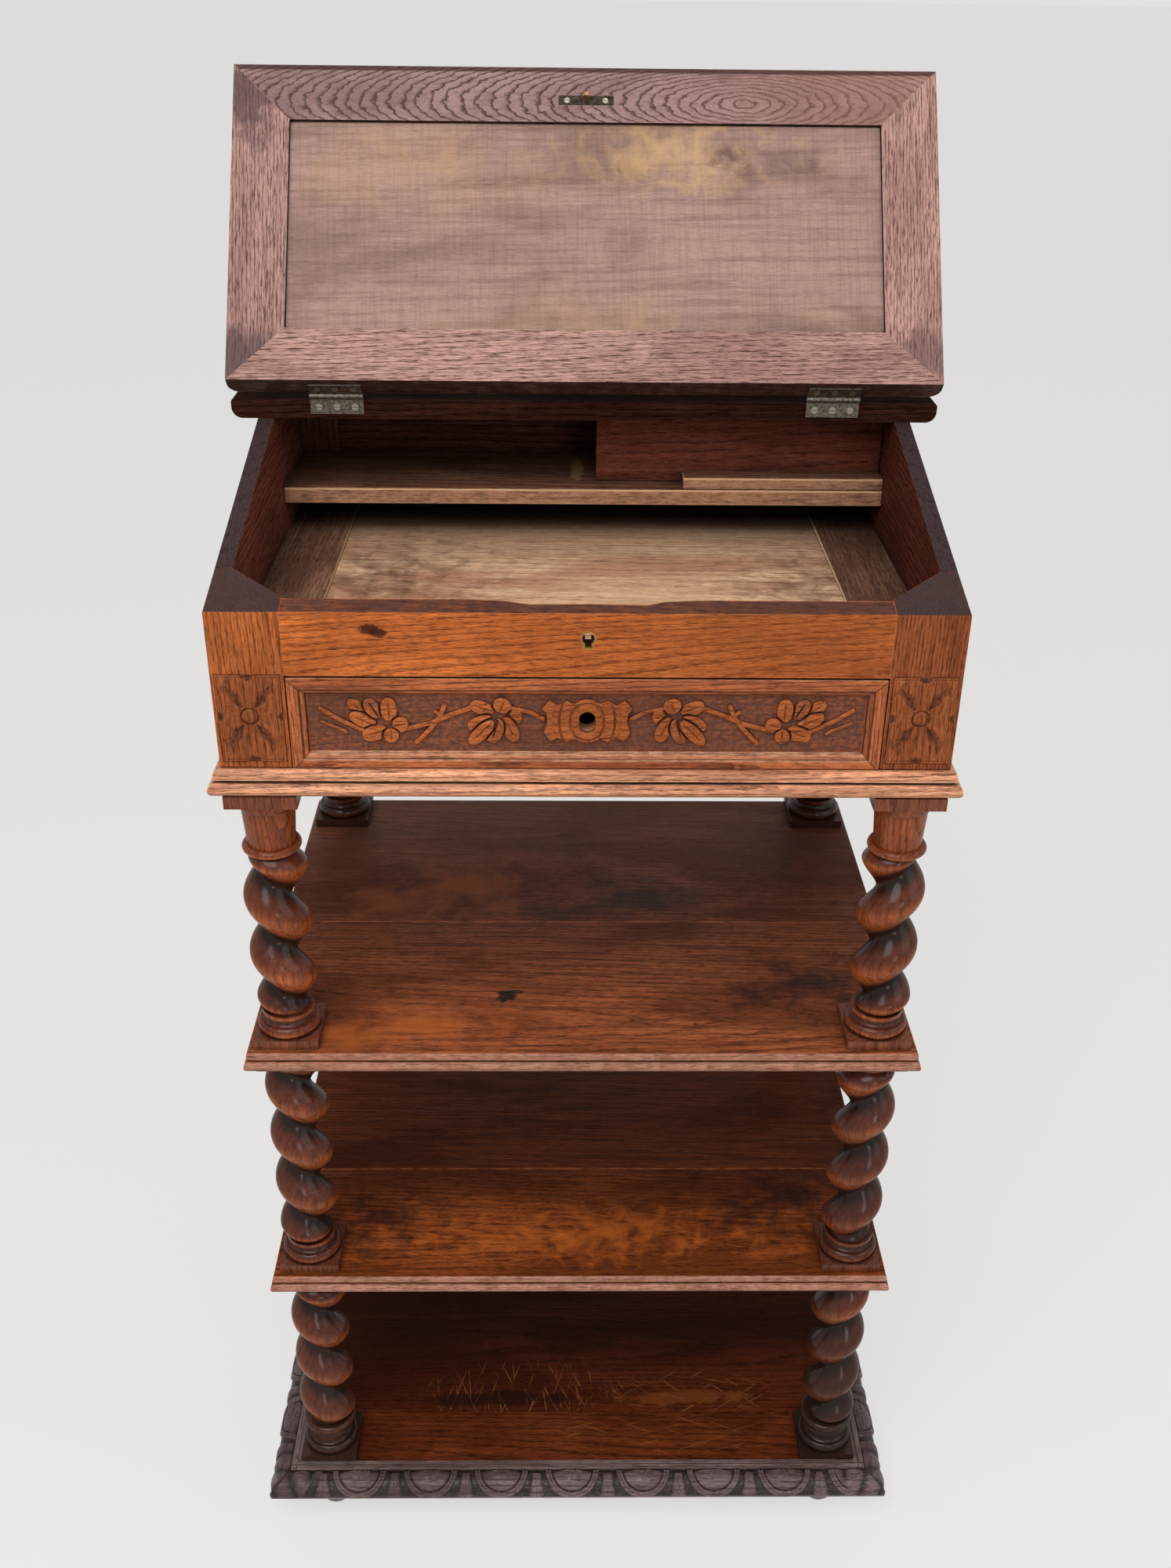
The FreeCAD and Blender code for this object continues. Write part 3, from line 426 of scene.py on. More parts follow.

# %% [markdown]
# ## Tints, wear and shine
# Some boards fade from one end to the other, some of them with painted shade, some have one face of another
# colour, some of them painted light, and dark wax with painted shade darkens a moulded groove. All three come
# from plain measures: a place along an axis, the direction of the normal and the distance from a level. Then
# the edges are rubbed, the corners are darkened with dirt and painted shade, and the shader gets its
# roughness, its bump of open pores and its thin coat of wax.

# %% Tints, wear and shine
def tint_places(tree, wood, pores, finish):
    """Fade far ends, tint single faces and draw thin lines, as the finish says."""
    for axis, start, end, colour, share in finish.get("fades", ()):
        where = ease(tree, parts(tree, frame_place(tree))["xyz".index(axis)], start, end, 0.0, share)
        wood = mix(tree, where, wood, colour)
    for direction, start, end, colour, share, thin in finish.get("faces", ()):
        facing = calc_vector(tree, "DOT_PRODUCT", add_node(tree, "TexCoord")["Normal"], direction)["Value"]
        grained = mix(tree, calc(tree, "MULTIPLY", pores, 0.8), colour, tone(colour, (0.25, 0.2, 0.2)))
        cover = ease(tree, noise(tree, frame_place(tree), 70.0, 4.0, 0.7), 0.36, 0.58, thin * share, share)
        turned = ease(tree, facing, start, end)
        wood = mix(tree, calc(tree, "MULTIPLY", turned, cover), wood, grained)
    for axis, level, half, colour in finish.get("lines", ()):
        along = parts(tree, frame_place(tree))["xyz".index(axis)]
        away = calc(tree, "ABSOLUTE", calc(tree, "SUBTRACT", along, level))
        wood = mix(tree, ease(tree, away, 0.4 * half, half, 0.9, 0.0), wood, colour)
    return wood


def age_wood(tree, wood, finish):
    """Rub the open edges, unevenly, and darken the corners with dirt and painted shade."""
    age = place_group(tree, wear, Edge_Width=finish["edge"], Corner_Reach=finish["reach"])
    uneven = ease(tree, noise(tree, frame_place(tree), 42.0, 4.0, 0.65), 0.34, 0.60)
    open_edge = calc(tree, "MULTIPLY", age["Edge"], ease(tree, age["Corner"], 0.12, 0.45, 1.0, 0.0))
    rub = calc(tree, "MULTIPLY", calc(tree, "MULTIPLY", open_edge, uneven), finish["worn_share"])
    wood = mix(tree, rub, wood, finish["worn"])
    # The corners are darkened with dirt and painted shade.
    grime = calc(tree, "MULTIPLY", ease(tree, age["Corner"], 0.2, 0.9), finish["grime_share"])
    return mix(tree, grime, wood, finish["grime"])


def finish_oak(tree, wood, pores, patch, finish):
    """Tint and age the wood, and set the shader: open pores and patches are duller than the rest."""
    rough = calc(tree, "ADD", calc(tree, "MULTIPLY", pores, 0.22), finish["rough"])
    rough = calc(tree, "ADD", rough, calc(tree, "MULTIPLY", patch, 0.10))
    raised = calc(tree, "SUBTRACT", 1.0, pores)
    bump = add_node(tree, "Bump", {"Strength": finish["bump"], "Distance": 0.0006, "Height": raised})
    set_shader(tree, {
        "Base Color": age_wood(tree, tint_places(tree, wood, pores, finish), finish),
        "Roughness": calc(tree, "MINIMUM", rough, 0.95),
        "Normal": bump["Normal"],
        "Specular IOR Level": finish["specular"],
        "Coat Weight": finish["coat"],
        "Coat Roughness": finish["coat_rough"],
    })


print("oak recipe ready")

# %% [markdown]
# ## What each wood looks like
# A finish is a set of values that starts from one middle colour, the one that the eye sees from a few steps
# away. Late wood is lighter than that, early wood and pores are darker, and worn edges are the palest. Boards
# of one desk still differ, so a finish can be shifted for a neighbour, and one side of a board can be tinted.

# %% Finish maker
# Dark wax; the same colour is also the painted shade in corners, grooves and at the foot of carved leaves.
wax_and_shade_dark = paint(22, 14, 11)


def oak_finish(red, green, blue, **changes):
    """A finish round one middle colour; what changes doesn't name keeps the value given here."""
    middle = paint(red, green, blue)
    finish = dict(
        light=tone(middle, (1.70, 1.76, 1.80)),
        dark=tone(middle, (0.55, 0.49, 0.47)),
        stain=tone(middle, (0.56, 0.50, 0.47)),
        pore=tone(middle, (0.20, 0.16, 0.15)),
        worn=tone(middle, (1.9, 2.1, 2.3)),
        grime=wax_and_shade_dark,
        spacing=0.006, wander=0.022, arch=0.0, jag=0.5, figure=0.75, fibre=0.55, patchy=0.5,
        pores=0.85, pore_width=0.0016, bump=0.4, rough=0.5, specular=0.126, coat=0.0, coat_rough=0.25,
        edge=0.0022, reach=0.022, worn_share=0.7, grime_share=0.8,
    )
    finish.update(changes)
    return finish


def shifted(finish, red, green, blue, **changes):
    """The finish of a neighbour: the wood's colours times three factors, and any other values changed."""
    colours = {key: tone(finish[key], (red, green, blue)) for key in ("light", "dark", "stain", "pore")}
    return {**finish, **colours, **changes}


def one_side(direction, start, end, colour, share, thin):
    """A tint for faces that look one way: none at the cosine start, full at end, and thin in spots."""
    return (direction, start, end, paint(*colour), share, thin)


# Front faces are rubbed pale, and they are also painted lighter where they face the light in front.
def lit_and_rubbed_front(*colour):
    return one_side((0.0, -1.0, 0.0), 0.25, 0.65, colour, 0.85, 0.6)


print("finish maker ready,", len(oak_finish(128, 96, 80)), "values in a finish")

# %% [markdown]
# ## The lid
# The lid's inner face is dry and grey-brown, its outer face has a red-brown wax, and its edges are dark with
# handling. One material per board covers all three: the direction of the normal says which face it is. The
# front rail was cut close to the heart, so its rings are wide arches with jagged sides.

# %% Lid finishes
lid_opened = math.radians(34.9)
lid_outward = (0.0, math.cos(lid_opened), -math.sin(lid_opened))
lid_edges = one_side(lid_outward, -0.85, -0.55, (54, 30, 24), 0.96, 0.9)
lid_outside = one_side(lid_outward, 0.5, 0.8, (116, 64, 42), 0.8, 0.75)
lid_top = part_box("lid_front_rail")[1].z
lid_frame_finish = oak_finish(
    164, 125, 113, spacing=0.0030, wander=0.02, figure=0.45, fibre=0.3, patchy=0.4, pores=1.0,
    pore_width=0.0014, rough=0.62, worn_share=0.25, faces=[lid_edges, lid_outside],
)
lid_left_finish = shifted(lid_frame_finish, 0.86, 0.87, 0.89)
lid_rail_finish = shifted(
    lid_frame_finish, 0.65, 0.70, 0.80, dark=tone(lid_frame_finish["dark"], (0.42, 0.44, 0.5)),
    spacing=0.0058, wander=0.014, arch=17.0, jag=1.1, figure=1.0, pores=0.35,
    fades=[
        ("x", 0.0, 0.3, paint(172, 122, 98), 0.35),
        ("z", lid_top - 0.0048, lid_top - 0.0032, paint(62, 38, 34), 0.8),
    ],
)
lid_panel_finish = oak_finish(
    146, 117, 105, spacing=0.013, wander=0.04, figure=0.06, fibre=0.3, patchy=0.5, pores=0.25,
    pore_width=0.0008, weave=0.2, rough=0.68, specular=0.084, worn_share=0.2, faces=[lid_edges, lid_outside],
)
print("lid finishes mixed; the lid leans", round(math.degrees(lid_opened), 1), "degrees past upright")

# %% [markdown]
# ## The case and the drawer front
# The front of the case is warm orange oak. Its sides are browner, the flat tops of posts and sides are almost
# black, and the moulded board under the case is pale where dusters have rubbed it, with dark wax and painted
# shade in its groove. The right post and the right side are darker than the left ones, which two shifted
# finishes give; on the right side this is painted shade. The drawer front's ledges that face up are painted
# lighter, as if lit from above.

# %% Case finishes
upward = (0.0, 0.0, 1.0)
dark_tops = one_side(upward, 0.45, 0.8, (67, 52, 53), 0.96, 0.96)
brown_top = one_side(upward, 0.45, 0.8, (88, 57, 49), 0.95, 0.85)
# The ledges of the drawer front that face up are painted lighter, as if lit from above.
lit_ledges = one_side(upward, 0.2, 0.6, (226, 168, 130), 0.7, 0.5)
moulding_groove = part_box("case_bottom_board")[1].z - 0.0103
top_board_finish = oak_finish(50, 26, 19, rough=0.75, specular=0.017, worn_share=0.3)
case_front_finish = oak_finish(
    161, 87, 44, spacing=0.0030, wander=0.013, figure=0.6, fibre=0.35, patchy=0.4, pore_width=0.0012,
    rough=0.46, specular=0.105, worn_share=0.4, faces=[dark_tops],
)
rail_finish = shifted(
    case_front_finish, 1.34, 1.30, 1.12, worn_share=0.8, faces=[brown_top],
    fades=[("x", -0.08, 0.12, paint(112, 56, 34), 0.36)],
)
right_post_finish = shifted(case_front_finish, 0.61, 0.60, 0.73)
case_side_finish = oak_finish(99, 54, 41, rough=0.55, specular=0.084, worn_share=0.4, faces=[dark_tops])
# The right side is darker with painted shade.
shaded_right_side_finish = shifted(case_side_finish, 0.60, 0.52, 0.48)
back_finish = shifted(case_side_finish, 0.62, 0.66, 0.66)
case_moulding_finish = oak_finish(
    208, 140, 103, spacing=0.0034, wander=0.014, patchy=0.6, pores=0.95, pore_width=0.0013, rough=0.32,
    specular=0.21, coat=0.21, coat_rough=0.2, edge=0.0040, reach=0.008, worn_share=1.0, grime_share=1.0,
    # dark wax and painted shade in the moulding's groove
    lines=[("z", moulding_groove, 0.0015, wax_and_shade_dark)],
)
drawer_front_finish = oak_finish(
    163, 89, 52, spacing=0.0034, wander=0.014, pore_width=0.0013, rough=0.34, specular=0.189,
    edge=0.002, reach=0.006, worn_share=0.9, grime_share=1.0, faces=[lit_ledges],
)
print("case finishes mixed; the moulding's groove is at", round(moulding_groove, 4), "m")

# %% [markdown]
# ## Shelves and base
# The shelves are stained red-brown. They grow darker from the front to the middle, with dirt and painted
# shade, and a lighter brown again at the back. Their moulded front edges are rubbed pale and painted lighter
# where they face the light, with dark wax and painted shade in the groove. The boards of the base are darker
# still, and darker towards the back with painted shade, and the mouldings round them have turned a dull
# grey-brown.

# %% Shelf and base finishes
# Painted shade, mixed with dirt, for the depth of the shelves and of the base boards.
deep_shade = paint(34, 16, 10)
groove_below_top = 0.0083
shelf_tops = [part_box(name)[1].z for name in ("lower_shelf_front_board", "upper_shelf_front_board")]
shelf_finish = oak_finish(
    140, 76, 42, spacing=0.0042, wander=0.025, figure=0.65, fibre=0.8, patchy=0.85, pores=0.95,
    pore_width=0.0013, rough=0.42, specular=0.105, edge=0.0036, worn_share=1.0,
    faces=[lit_and_rubbed_front(196, 143, 121)],
    # painted shade with dirt towards the middle, then a lighter brown at the back
    fades=[("y", -0.19, 0.0, deep_shade, 0.5), ("y", 0.05, 0.18, paint(120, 78, 62), 0.42)],
    # dark wax and painted shade in the groove of each front edge
    lines=[("z", top - groove_below_top, 0.0014, wax_and_shade_dark) for top in shelf_tops],
)
lower_shelf_finish = shifted(
    shelf_finish, 0.92, 0.78, 0.50, specular=0.063, faces=[lit_and_rubbed_front(208, 152, 130)],
    # painted shade with dirt towards the middle, then a lighter brown at the back
    fades=[("y", -0.19, -0.05, deep_shade, 0.62), ("y", 0.0, 0.15, paint(104, 54, 34), 0.3)],
)
base_board_finish = oak_finish(
    97, 42, 18, spacing=0.0045, wander=0.025, figure=0.65, patchy=0.8, pores=0.95, pore_width=0.0014,
    # the base boards darken towards the back with painted shade
    rough=0.45, specular=0.05, worn_share=0.4, fades=[("y", -0.19, -0.02, deep_shade, 0.7)],
)
base_front_finish = shifted(base_board_finish, 1.02, 1.10, 1.00, fades=[])
base_moulding_finish = oak_finish(
    114, 96, 93, figure=0.7, patchy=0.75, pores=0.95, rough=0.30, specular=0.21, coat=0.168, coat_rough=0.2,
    edge=0.0026, reach=0.01, worn=paint(156, 122, 98), worn_share=0.7, grime_share=1.0,
)
print("shelf finishes mixed; the shelves' tops are at", [round(top, 3) for top in shelf_tops], "m")

# %% [markdown]
# ## Inside the case
# The floor of the well was never stained and is pale, with pale lines of bare wood where its panel meets the
# end boards. The inner shelf and the guide strip are brown, and their front edges are rubbed pale and painted
# lighter where they face the light.

# %% Inside finishes
floor_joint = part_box("well_floor_panel")[1].x + 0.0008
rubbed_levels = [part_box(name)[1].z - 0.0012 for name in ("inner_shelf", "inner_drawer_guide")]
well_floor_finish = oak_finish(
    238, 165, 130, spacing=0.005, wander=0.025, figure=0.3, fibre=0.4, patchy=0.65, pores=0.7,
    pore_width=0.0013, rough=0.66, specular=0.084, reach=0.09, grime_share=0.9,
    fades=[("y", -0.02, 0.10, paint(84, 60, 46), 0.55)],
)
floor_end_finish = oak_finish(
    120, 85, 66, spacing=0.004, figure=0.35, patchy=0.8, rough=0.66, specular=0.084, edge=0.0018,
    reach=0.06, worn=paint(176, 138, 106), worn_share=0.9, fades=[("x", 0.1, 0.2, paint(62, 40, 30), 0.35)],
    lines=[
        ("x", floor_joint, 0.0014, paint(214, 176, 136)),
        ("x", -floor_joint, 0.0012, paint(176, 130, 96)),
    ],
)
inside_finish = oak_finish(
    98, 66, 48, spacing=0.005, patchy=0.85, pore_width=0.0013, rough=0.62, specular=0.084, edge=0.004,
    worn=paint(190, 150, 116), worn_share=1.0, faces=[lit_and_rubbed_front(192, 142, 110)],
    lines=[("z", level, 0.0011, paint(226, 182, 140)) for level in rubbed_levels],
)
inner_drawer_finish = oak_finish(
    95, 48, 31, spacing=0.0032, figure=0.35, fibre=0.4, patchy=0.9, pore_width=0.0011, rough=0.45
)
print("inside finishes mixed; the floor's joints are at x", round(-floor_joint, 4), round(floor_joint, 4))

# %% [markdown]
# ## Which board is which
# One table says which finish and which grain direction each board has. The offset of the tree's heart
# changes from board to board, which changes the figure from straight lines to tall arches. Where three more
# numbers follow, the board is tilted in its tree otherwise than most.

# %% Boards
board_table = {
    "lid_front_rail": (lid_rail_finish, "lid_x", (0.06, -0.006, 0.0714), (0.0, 25.0, 0.0)),
    "lid_back_rail": (lid_frame_finish, "lid_x", (1.1, 0.06, -0.05), (0.0, 1.0, 0.5)),
    "lid_left_stile": (lid_left_finish, "lid_y", (2.3, 0.07, -0.03)),
    "lid_right_stile": (lid_frame_finish, "lid_y", (3.1, -0.08, -0.03), (0.0, 1.0, -1.0)),
    "lid_panel": (lid_panel_finish, "lid_x", (0.7, 0.12, -0.16), (0.0, 1.5, 1.0)),
    "top_board": (top_board_finish, "x", (1.9, 0.09, 0.05)),
    "front_rail": (rail_finish, "x", (0.4, -0.05, 0.035), (0.0, 1.6, 1.5)),
    "left_front_post": (case_front_finish, "z", (0.8, -0.05, 0.06)),
    "right_front_post": (right_post_finish, "z", (1.8, 0.05, 0.07), (0.0, -1.0, 1.0)),
    "left_side_board": (case_side_finish, "y", (0.5, 0.04, 0.09)),
    "right_side_board": (shaded_right_side_finish, "y", (1.5, -0.04, 0.09)),
    "case_bottom_board": (case_moulding_finish, "x", (1.4, 0.2, 0.06), (0.0, 0.5, 0.5)),
    "upper_shelf_front_board": (shelf_finish, "x", (0.2, 0.05, -0.09), (0.0, 1.5, 1.0)),
    "upper_shelf_back_board": (shelf_finish, "x", (1.2, -0.06, -0.08), (0.0, 1.0, 2.0)),
    "lower_shelf_front_board": (lower_shelf_finish, "x", (2.2, 0.03, -0.07), (0.0, 2.0, 1.0)),
    "lower_shelf_back_board": (lower_shelf_finish, "x", (3.2, -0.08, -0.08)),
    "base_front_board": (base_front_finish, "x", (0.6, 0.04, -0.06)),
    "base_middle_board": (base_board_finish, "x", (1.6, -0.03, -0.08), (0.0, 1.5, 1.0)),
    "base_back_board": (base_board_finish, "x", (2.6, 0.06, -0.07)),
    "base_front_moulding": (base_moulding_finish, "x", (0.9, 0.05, 0.04), (0.0, 0.5, 0.5)),
    "base_left_moulding": (base_moulding_finish, "y", (1.9, 0.05, 0.04), (0.0, 0.5, 0.5)),
    "base_right_moulding": (base_moulding_finish, "y", (2.9, 0.05, 0.04), (0.0, 0.5, 0.5)),
    "feet": (base_moulding_finish, "z", (0.4, 0.1, 0.1), (0.0, 0.0, 0.0)),
    "well_floor_panel": (well_floor_finish, "x", (0.1, 0.1, -0.14)),
    "well_floor_ends": (floor_end_finish, "y", (1.3, 0.1, -0.1)),
    "inner_shelf": (inside_finish, "x", (0.7, 0.08, -0.06)),
    "inner_drawer_guide": (inside_finish, "x", (2.1, 0.05, -0.05)),
    "inner_drawer_walls": (inner_drawer_finish, "x", (0.9, -0.11, 0.06)),
    "inner_drawer_ends": (inner_drawer_finish, "y", (1.7, -0.08, 0.06)),
    "inner_drawer_bottom": (inside_finish, "x", (2.7, 0.07, -0.06)),
    "drawer_guides": (inside_finish, "y", (0.3, 0.07, 0.06)),
    "drawer_sides": (inside_finish, "y", (1.1, 0.06, 0.06)),
    "drawer_back": (inside_finish, "x", (1.9, 0.06, 0.06)),
    "drawer_bottom": (inside_finish, "x", (2.9, 0.08, -0.09)),
    "back_stiles": (back_finish, "z", (0.5, 0.07, 0.06)),
    "back_rails": (back_finish, "x", (1.5, 0.06, 0.05)),
    "back_panel": (back_finish, "x", (2.5, 0.12, 0.09)),
}
print(len(board_table), "boards in the table")

# %% [markdown]
# ## Marks of use
# Knots, dry patches, nicks and scratches tell one board from the next. A spot is given by its middle, its
# half-sizes along X, Y and Z, a colour and a share, and then by how ragged it is, how fine its raggedness is
# and how far its core reaches. Scratches have a place, a size, a colour and a share too, and their angles.

# %% Marks of use
def spot(at, size, colour, share, ragged=0.6, scale=60.0, core=0.55):
    return dict(at=at, size=size, colour=paint(*colour), share=share, ragged=ragged, scale=scale, core=core)


def scratches(at, size, colour, share, *angles):
    return dict(at=at, size=size, colour=paint(*colour), share=share, scratched=angles)


def on_lid(x, up):
    """A point of the open lid's inner face, a length up from a point near the middle of its panel."""
    panel_y, panel_z = 0.155, 1.305
    return (x, panel_y + up * math.sin(lid_opened), panel_z + up * math.cos(lid_opened))


lower_top, upper_top = shelf_tops
base_top, floor_top, inner_top = (
    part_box(name)[1].z for name in ("base_front_board", "well_floor_panel", "inner_shelf")
)
rail_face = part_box("front_rail")[0].y
bare_oak, knot = (176, 112, 58), (64, 26, 17)
nick_places = (
    (-0.13, 0.085), (-0.09, 0.062), (-0.073, 0.06), (-0.02, 0.045), (-0.10, -0.03), (0.05, -0.02),
    (-0.15, -0.05), (-0.05, -0.06), (0.13, -0.05),
)
board_marks = {
    "lid_panel": [
        spot(on_lid(0.09, 0.088), (0.15, 0.05, 0.05), (226, 182, 126), 0.6, 1.5, 34.0, -0.3),
        spot(on_lid(0.02, -0.09), (0.34, 0.05, 0.05), (204, 162, 122), 0.5, 1.6, 20.0, -0.6),
        spot(on_lid(-0.16, 0.075), (0.16, 0.06, 0.06), (204, 160, 116), 0.5, 1.6, 20.0, -0.6),
        spot(on_lid(0.2, 0.075), (0.1, 0.035, 0.035), (112, 86, 80), 0.7, 1.3, 30.0, -0.2),
        spot(on_lid(0.222, 0.058), (0.06, 0.006, 0.007), (46, 30, 28), 0.8, 0.9, 70.0, 0.2),
        spot(on_lid(0.14, 0.085), (0.025, 0.02, 0.02), (92, 66, 58), 0.7, 1.4, 60.0, 0.1),
        spot(on_lid(0.24, -0.01), (0.05, 0.008, 0.009), (98, 74, 70), 0.6, 0.9, 40.0, 0.0),
        *(spot(on_lid(*at), (0.003, 0.002, 0.0022), (222, 198, 178), 0.8, scale=300.0) for at in nick_places),
    ],
    "lid_left_stile": [
        spot(on_lid(-0.318, 0.14), (0.03, 0.05, 0.06), (88, 68, 70), 0.75, 1.0, 24.0),
        spot(on_lid(-0.322, -0.125), (0.032, 0.05, 0.05), (84, 66, 68), 0.75, 1.0, 24.0),
    ],
    "lid_right_stile": [
        spot(on_lid(0.318, -0.12), (0.03, 0.05, 0.05), (96, 74, 72), 0.6, 1.0, 24.0),
    ],
    "front_rail": [
        spot((-0.1785, rail_face, 1.0676), (0.011, 0.01, 0.006), knot, 0.9, scale=150.0),
        spot((-0.1715, rail_face, 1.0645), (0.010, 0.01, 0.005), knot, 0.9, scale=150.0),
    ],
    "upper_shelf_front_board": [
        spot((-0.076, -0.142, upper_top), (0.012, 0.012, 0.01), (20, 11, 9), 0.95, 1.0, 90.0),
        spot((-0.07, -0.134, upper_top), (0.018, 0.004, 0.01), (24, 12, 9), 0.9, scale=120.0),
        scratches((0.05, -0.15, upper_top), (0.28, 0.09, 0.02), (178, 112, 70), 0.35, 22.0, -16.0),
        spot((0.22, -0.12, upper_top), (0.11, 0.06, 0.02), (34, 19, 15), 0.85, 1.6, 26.0, -0.2),
        spot((-0.17, -0.19, upper_top), (0.18, 0.045, 0.02), (186, 98, 42), 0.7, 1.6, 24.0, -0.3),
    ],
    "upper_shelf_back_board": [
        spot((-0.14, 0.06, upper_top), (0.13, 0.10, 0.02), (190, 112, 64), 0.85, 1.7, 18.0, -0.3),
        spot((0.05, 0.03, upper_top), (0.16, 0.07, 0.02), (22, 13, 11), 0.85, 1.6, 16.0, -0.3),
        spot((0.25, 0.15, upper_top), (0.07, 0.09, 0.02), (14, 8, 7), 0.9, 1.3, 20.0, -0.2),
        spot((-0.26, 0.17, upper_top), (0.07, 0.07, 0.02), (14, 8, 7), 0.9, 1.3, 20.0, -0.2),
    ],
    "lower_shelf_front_board": [
        scratches((0.0, -0.16, lower_top), (0.3, 0.08, 0.02), (190, 108, 50), 0.5, 8.0, -11.0),
        spot((0.02, -0.17, lower_top), (0.24, 0.05, 0.02), (206, 108, 40), 0.6, 2.0, 44.0, -0.5),
        spot((-0.22, -0.15, lower_top), (0.11, 0.06, 0.02), (34, 16, 9), 0.8, 1.8, 30.0, -0.3),
        spot((0.22, -0.12, lower_top), (0.13, 0.07, 0.02), (30, 14, 9), 0.8, 1.8, 30.0, -0.3),
    ],
    "base_middle_board": [
        scratches((-0.06, -0.125, base_top), (0.13, 0.05, 0.02), bare_oak, 0.85, 66.0, 84.0, -72.0),
        scratches((0.14, -0.13, base_top), (0.12, 0.04, 0.02), bare_oak, 0.85, 12.0, 40.0, -34.0),
        spot((0.13, -0.138, base_top), (0.1, 0.012, 0.02), (140, 76, 36), 0.6, 1.0, 40.0),
        spot((-0.1, -0.14, base_top), (0.12, 0.012, 0.02), (26, 12, 9), 0.7, 1.0, 30.0),
    ],
    "base_front_board": [
        scratches((0.1, -0.18, base_top), (0.18, 0.05, 0.02), bare_oak, 0.4, 24.0, -18.0),
    ],
    "well_floor_panel": [
        spot((0.04, -0.09, floor_top), (0.22, 0.07, 0.03), (228, 184, 142), 0.55, 1.2, 16.0, -0.2),
        spot((-0.19, -0.02, floor_top), (0.16, 0.14, 0.03), (92, 62, 46), 0.9, 1.6, 40.0, -0.7),
        spot((0.22, -0.03, floor_top), (0.14, 0.14, 0.03), (96, 64, 46), 0.85, 1.6, 40.0, -0.7),
        scratches((0.0, 0.0, floor_top), (0.3, 0.16, 0.03), (78, 54, 40), 0.45, 4.0, -3.0),
    ],
    "inner_shelf": [
        spot((-0.0067, 0.165, inner_top), (0.008, 0.05, 0.01), (160, 124, 92), 0.5, scale=80.0),
    ],
}
print(sum(len(marks) for marks in board_marks.values()), "marks on", len(board_marks), "boards")

# %% [markdown]
# ## Dressing the boards
# Now the recipe runs once for each board: find its place in the tree, colour the oak, add its marks, and
# finish it. A new material for each board costs little, and each can still be changed by hand afterwards.

# %% Dressing
for node_name, (finish, grain, heart, *tilt) in board_table.items():
    material, tree = new_material(node_name + "_oak")
    place = board_space(tree, node_name, grain, heart, *tilt)
    wood, pores, patch = oak_colour(tree, place, finish)
    for values in board_marks.get(node_name, ()):
        wood = mark(tree, wood, **values)
    finish_oak(tree, wood, pores, patch, finish)
    dress(node_name, material)
print(len(board_table), "boards dressed")

# %% [markdown]
# ## The drawer front
# The border of the drawer is a frame: its ends run upright and meet the long sides in a mitre. One
# material holds both directions, and the nearer edge says which one a point belongs to. Dark wax marks
# the mitres, and dark wax with painted shade darkens the grooves of the border.

# %% Drawer front
material, tree = new_material("drawer_front_oak")
side_place = board_space(tree, "drawer_front", "x", (2.4, -0.07, 0.04))
end_place = board_space(tree, "drawer_front", "z", (1.2, 0.06, 0.05))
wood, pores, patch = oak_colour(tree, side_place, drawer_front_finish)
end_wood = oak_colour(tree, end_place, drawer_front_finish)[0]
low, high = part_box("drawer_front")
ground_end = high.x - 0.016
ground_low, ground_high = low.z + 0.014, high.z - 0.0175
x, _, z = parts(tree, frame_place(tree))
past_end = calc(tree, "SUBTRACT", calc(tree, "ABSOLUTE", x), ground_end)
past_low = calc(tree, "SUBTRACT", ground_low, z)
past_side = calc(tree, "MAXIMUM", past_low, calc(tree, "SUBTRACT", z, ground_high))
nearer_end = calc(tree, "SUBTRACT", past_end, past_side)
wood = mix(tree, ease(tree, nearer_end, -0.0002, 0.0002), wood, end_wood)
from_mitre = calc(tree, "ABSOLUTE", nearer_end)
wood = mix(tree, ease(tree, from_mitre, 0.0003, 0.0009, 0.8, 0.0), wood, wax_and_shade_dark)
up_the_border = calc(tree, "MAXIMUM", past_end, past_side)
# The grooves get dark wax and painted shade.
border_grooves = ((0.0061, 0.0011), (0.0016, 0.0009), (-0.0002, 0.0010))
for groove, half in border_grooves:
    from_groove = calc(tree, "ABSOLUTE", calc(tree, "SUBTRACT", up_the_border, groove))
    wood = mix(tree, ease(tree, from_groove, 0.3 * half, half, 0.8, 0.0), wood, wax_and_shade_dark)
finish_oak(tree, wood, pores, patch, drawer_front_finish)
dress("drawer_front", material)
print("drawer front dressed, border mitred at the corners,", len(border_grooves), "waxed grooves")

# %% [markdown]
# ## Columns: where a point lies
# The twelve columns were turned and then cut with a twist. All of them stand at the same distance from the
# middle, so the signs of X and of the depth can be dropped, and one material measures how far each point is
# from its own column's axis. A small share of X is added to the grain's place, so that left and right differ.

# %% Column place
def axis_of(node_name):
    low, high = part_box(node_name)
    return (low + high) / 2


front_axis = axis_of("lower_column_front_right")
back_axis = axis_of("lower_column_back_right")
middle_y = (front_axis.y + back_axis.y) / 2
material, tree = new_material("column_oak")
x, y, z = parts(tree, frame_place(tree))
off_x = calc(tree, "SUBTRACT", calc(tree, "ABSOLUTE", x), front_axis.x)
from_middle = calc(tree, "ABSOLUTE", calc(tree, "SUBTRACT", y, middle_y))
off_y = calc(tree, "SUBTRACT", from_middle, back_axis.y - middle_y)
squares = calc(tree, "ADD", calc(tree, "POWER", off_x, 2.0), calc(tree, "POWER", off_y, 2.0))
from_axis = calc(tree, "SQRT", squares)
beside_heart = calc(tree, "ADD", off_x, 0.035)
own_slice = calc(tree, "ADD", off_y, calc(tree, "MULTIPLY", x, 0.2))
upright_place = join(tree, z, beside_heart, own_slice)
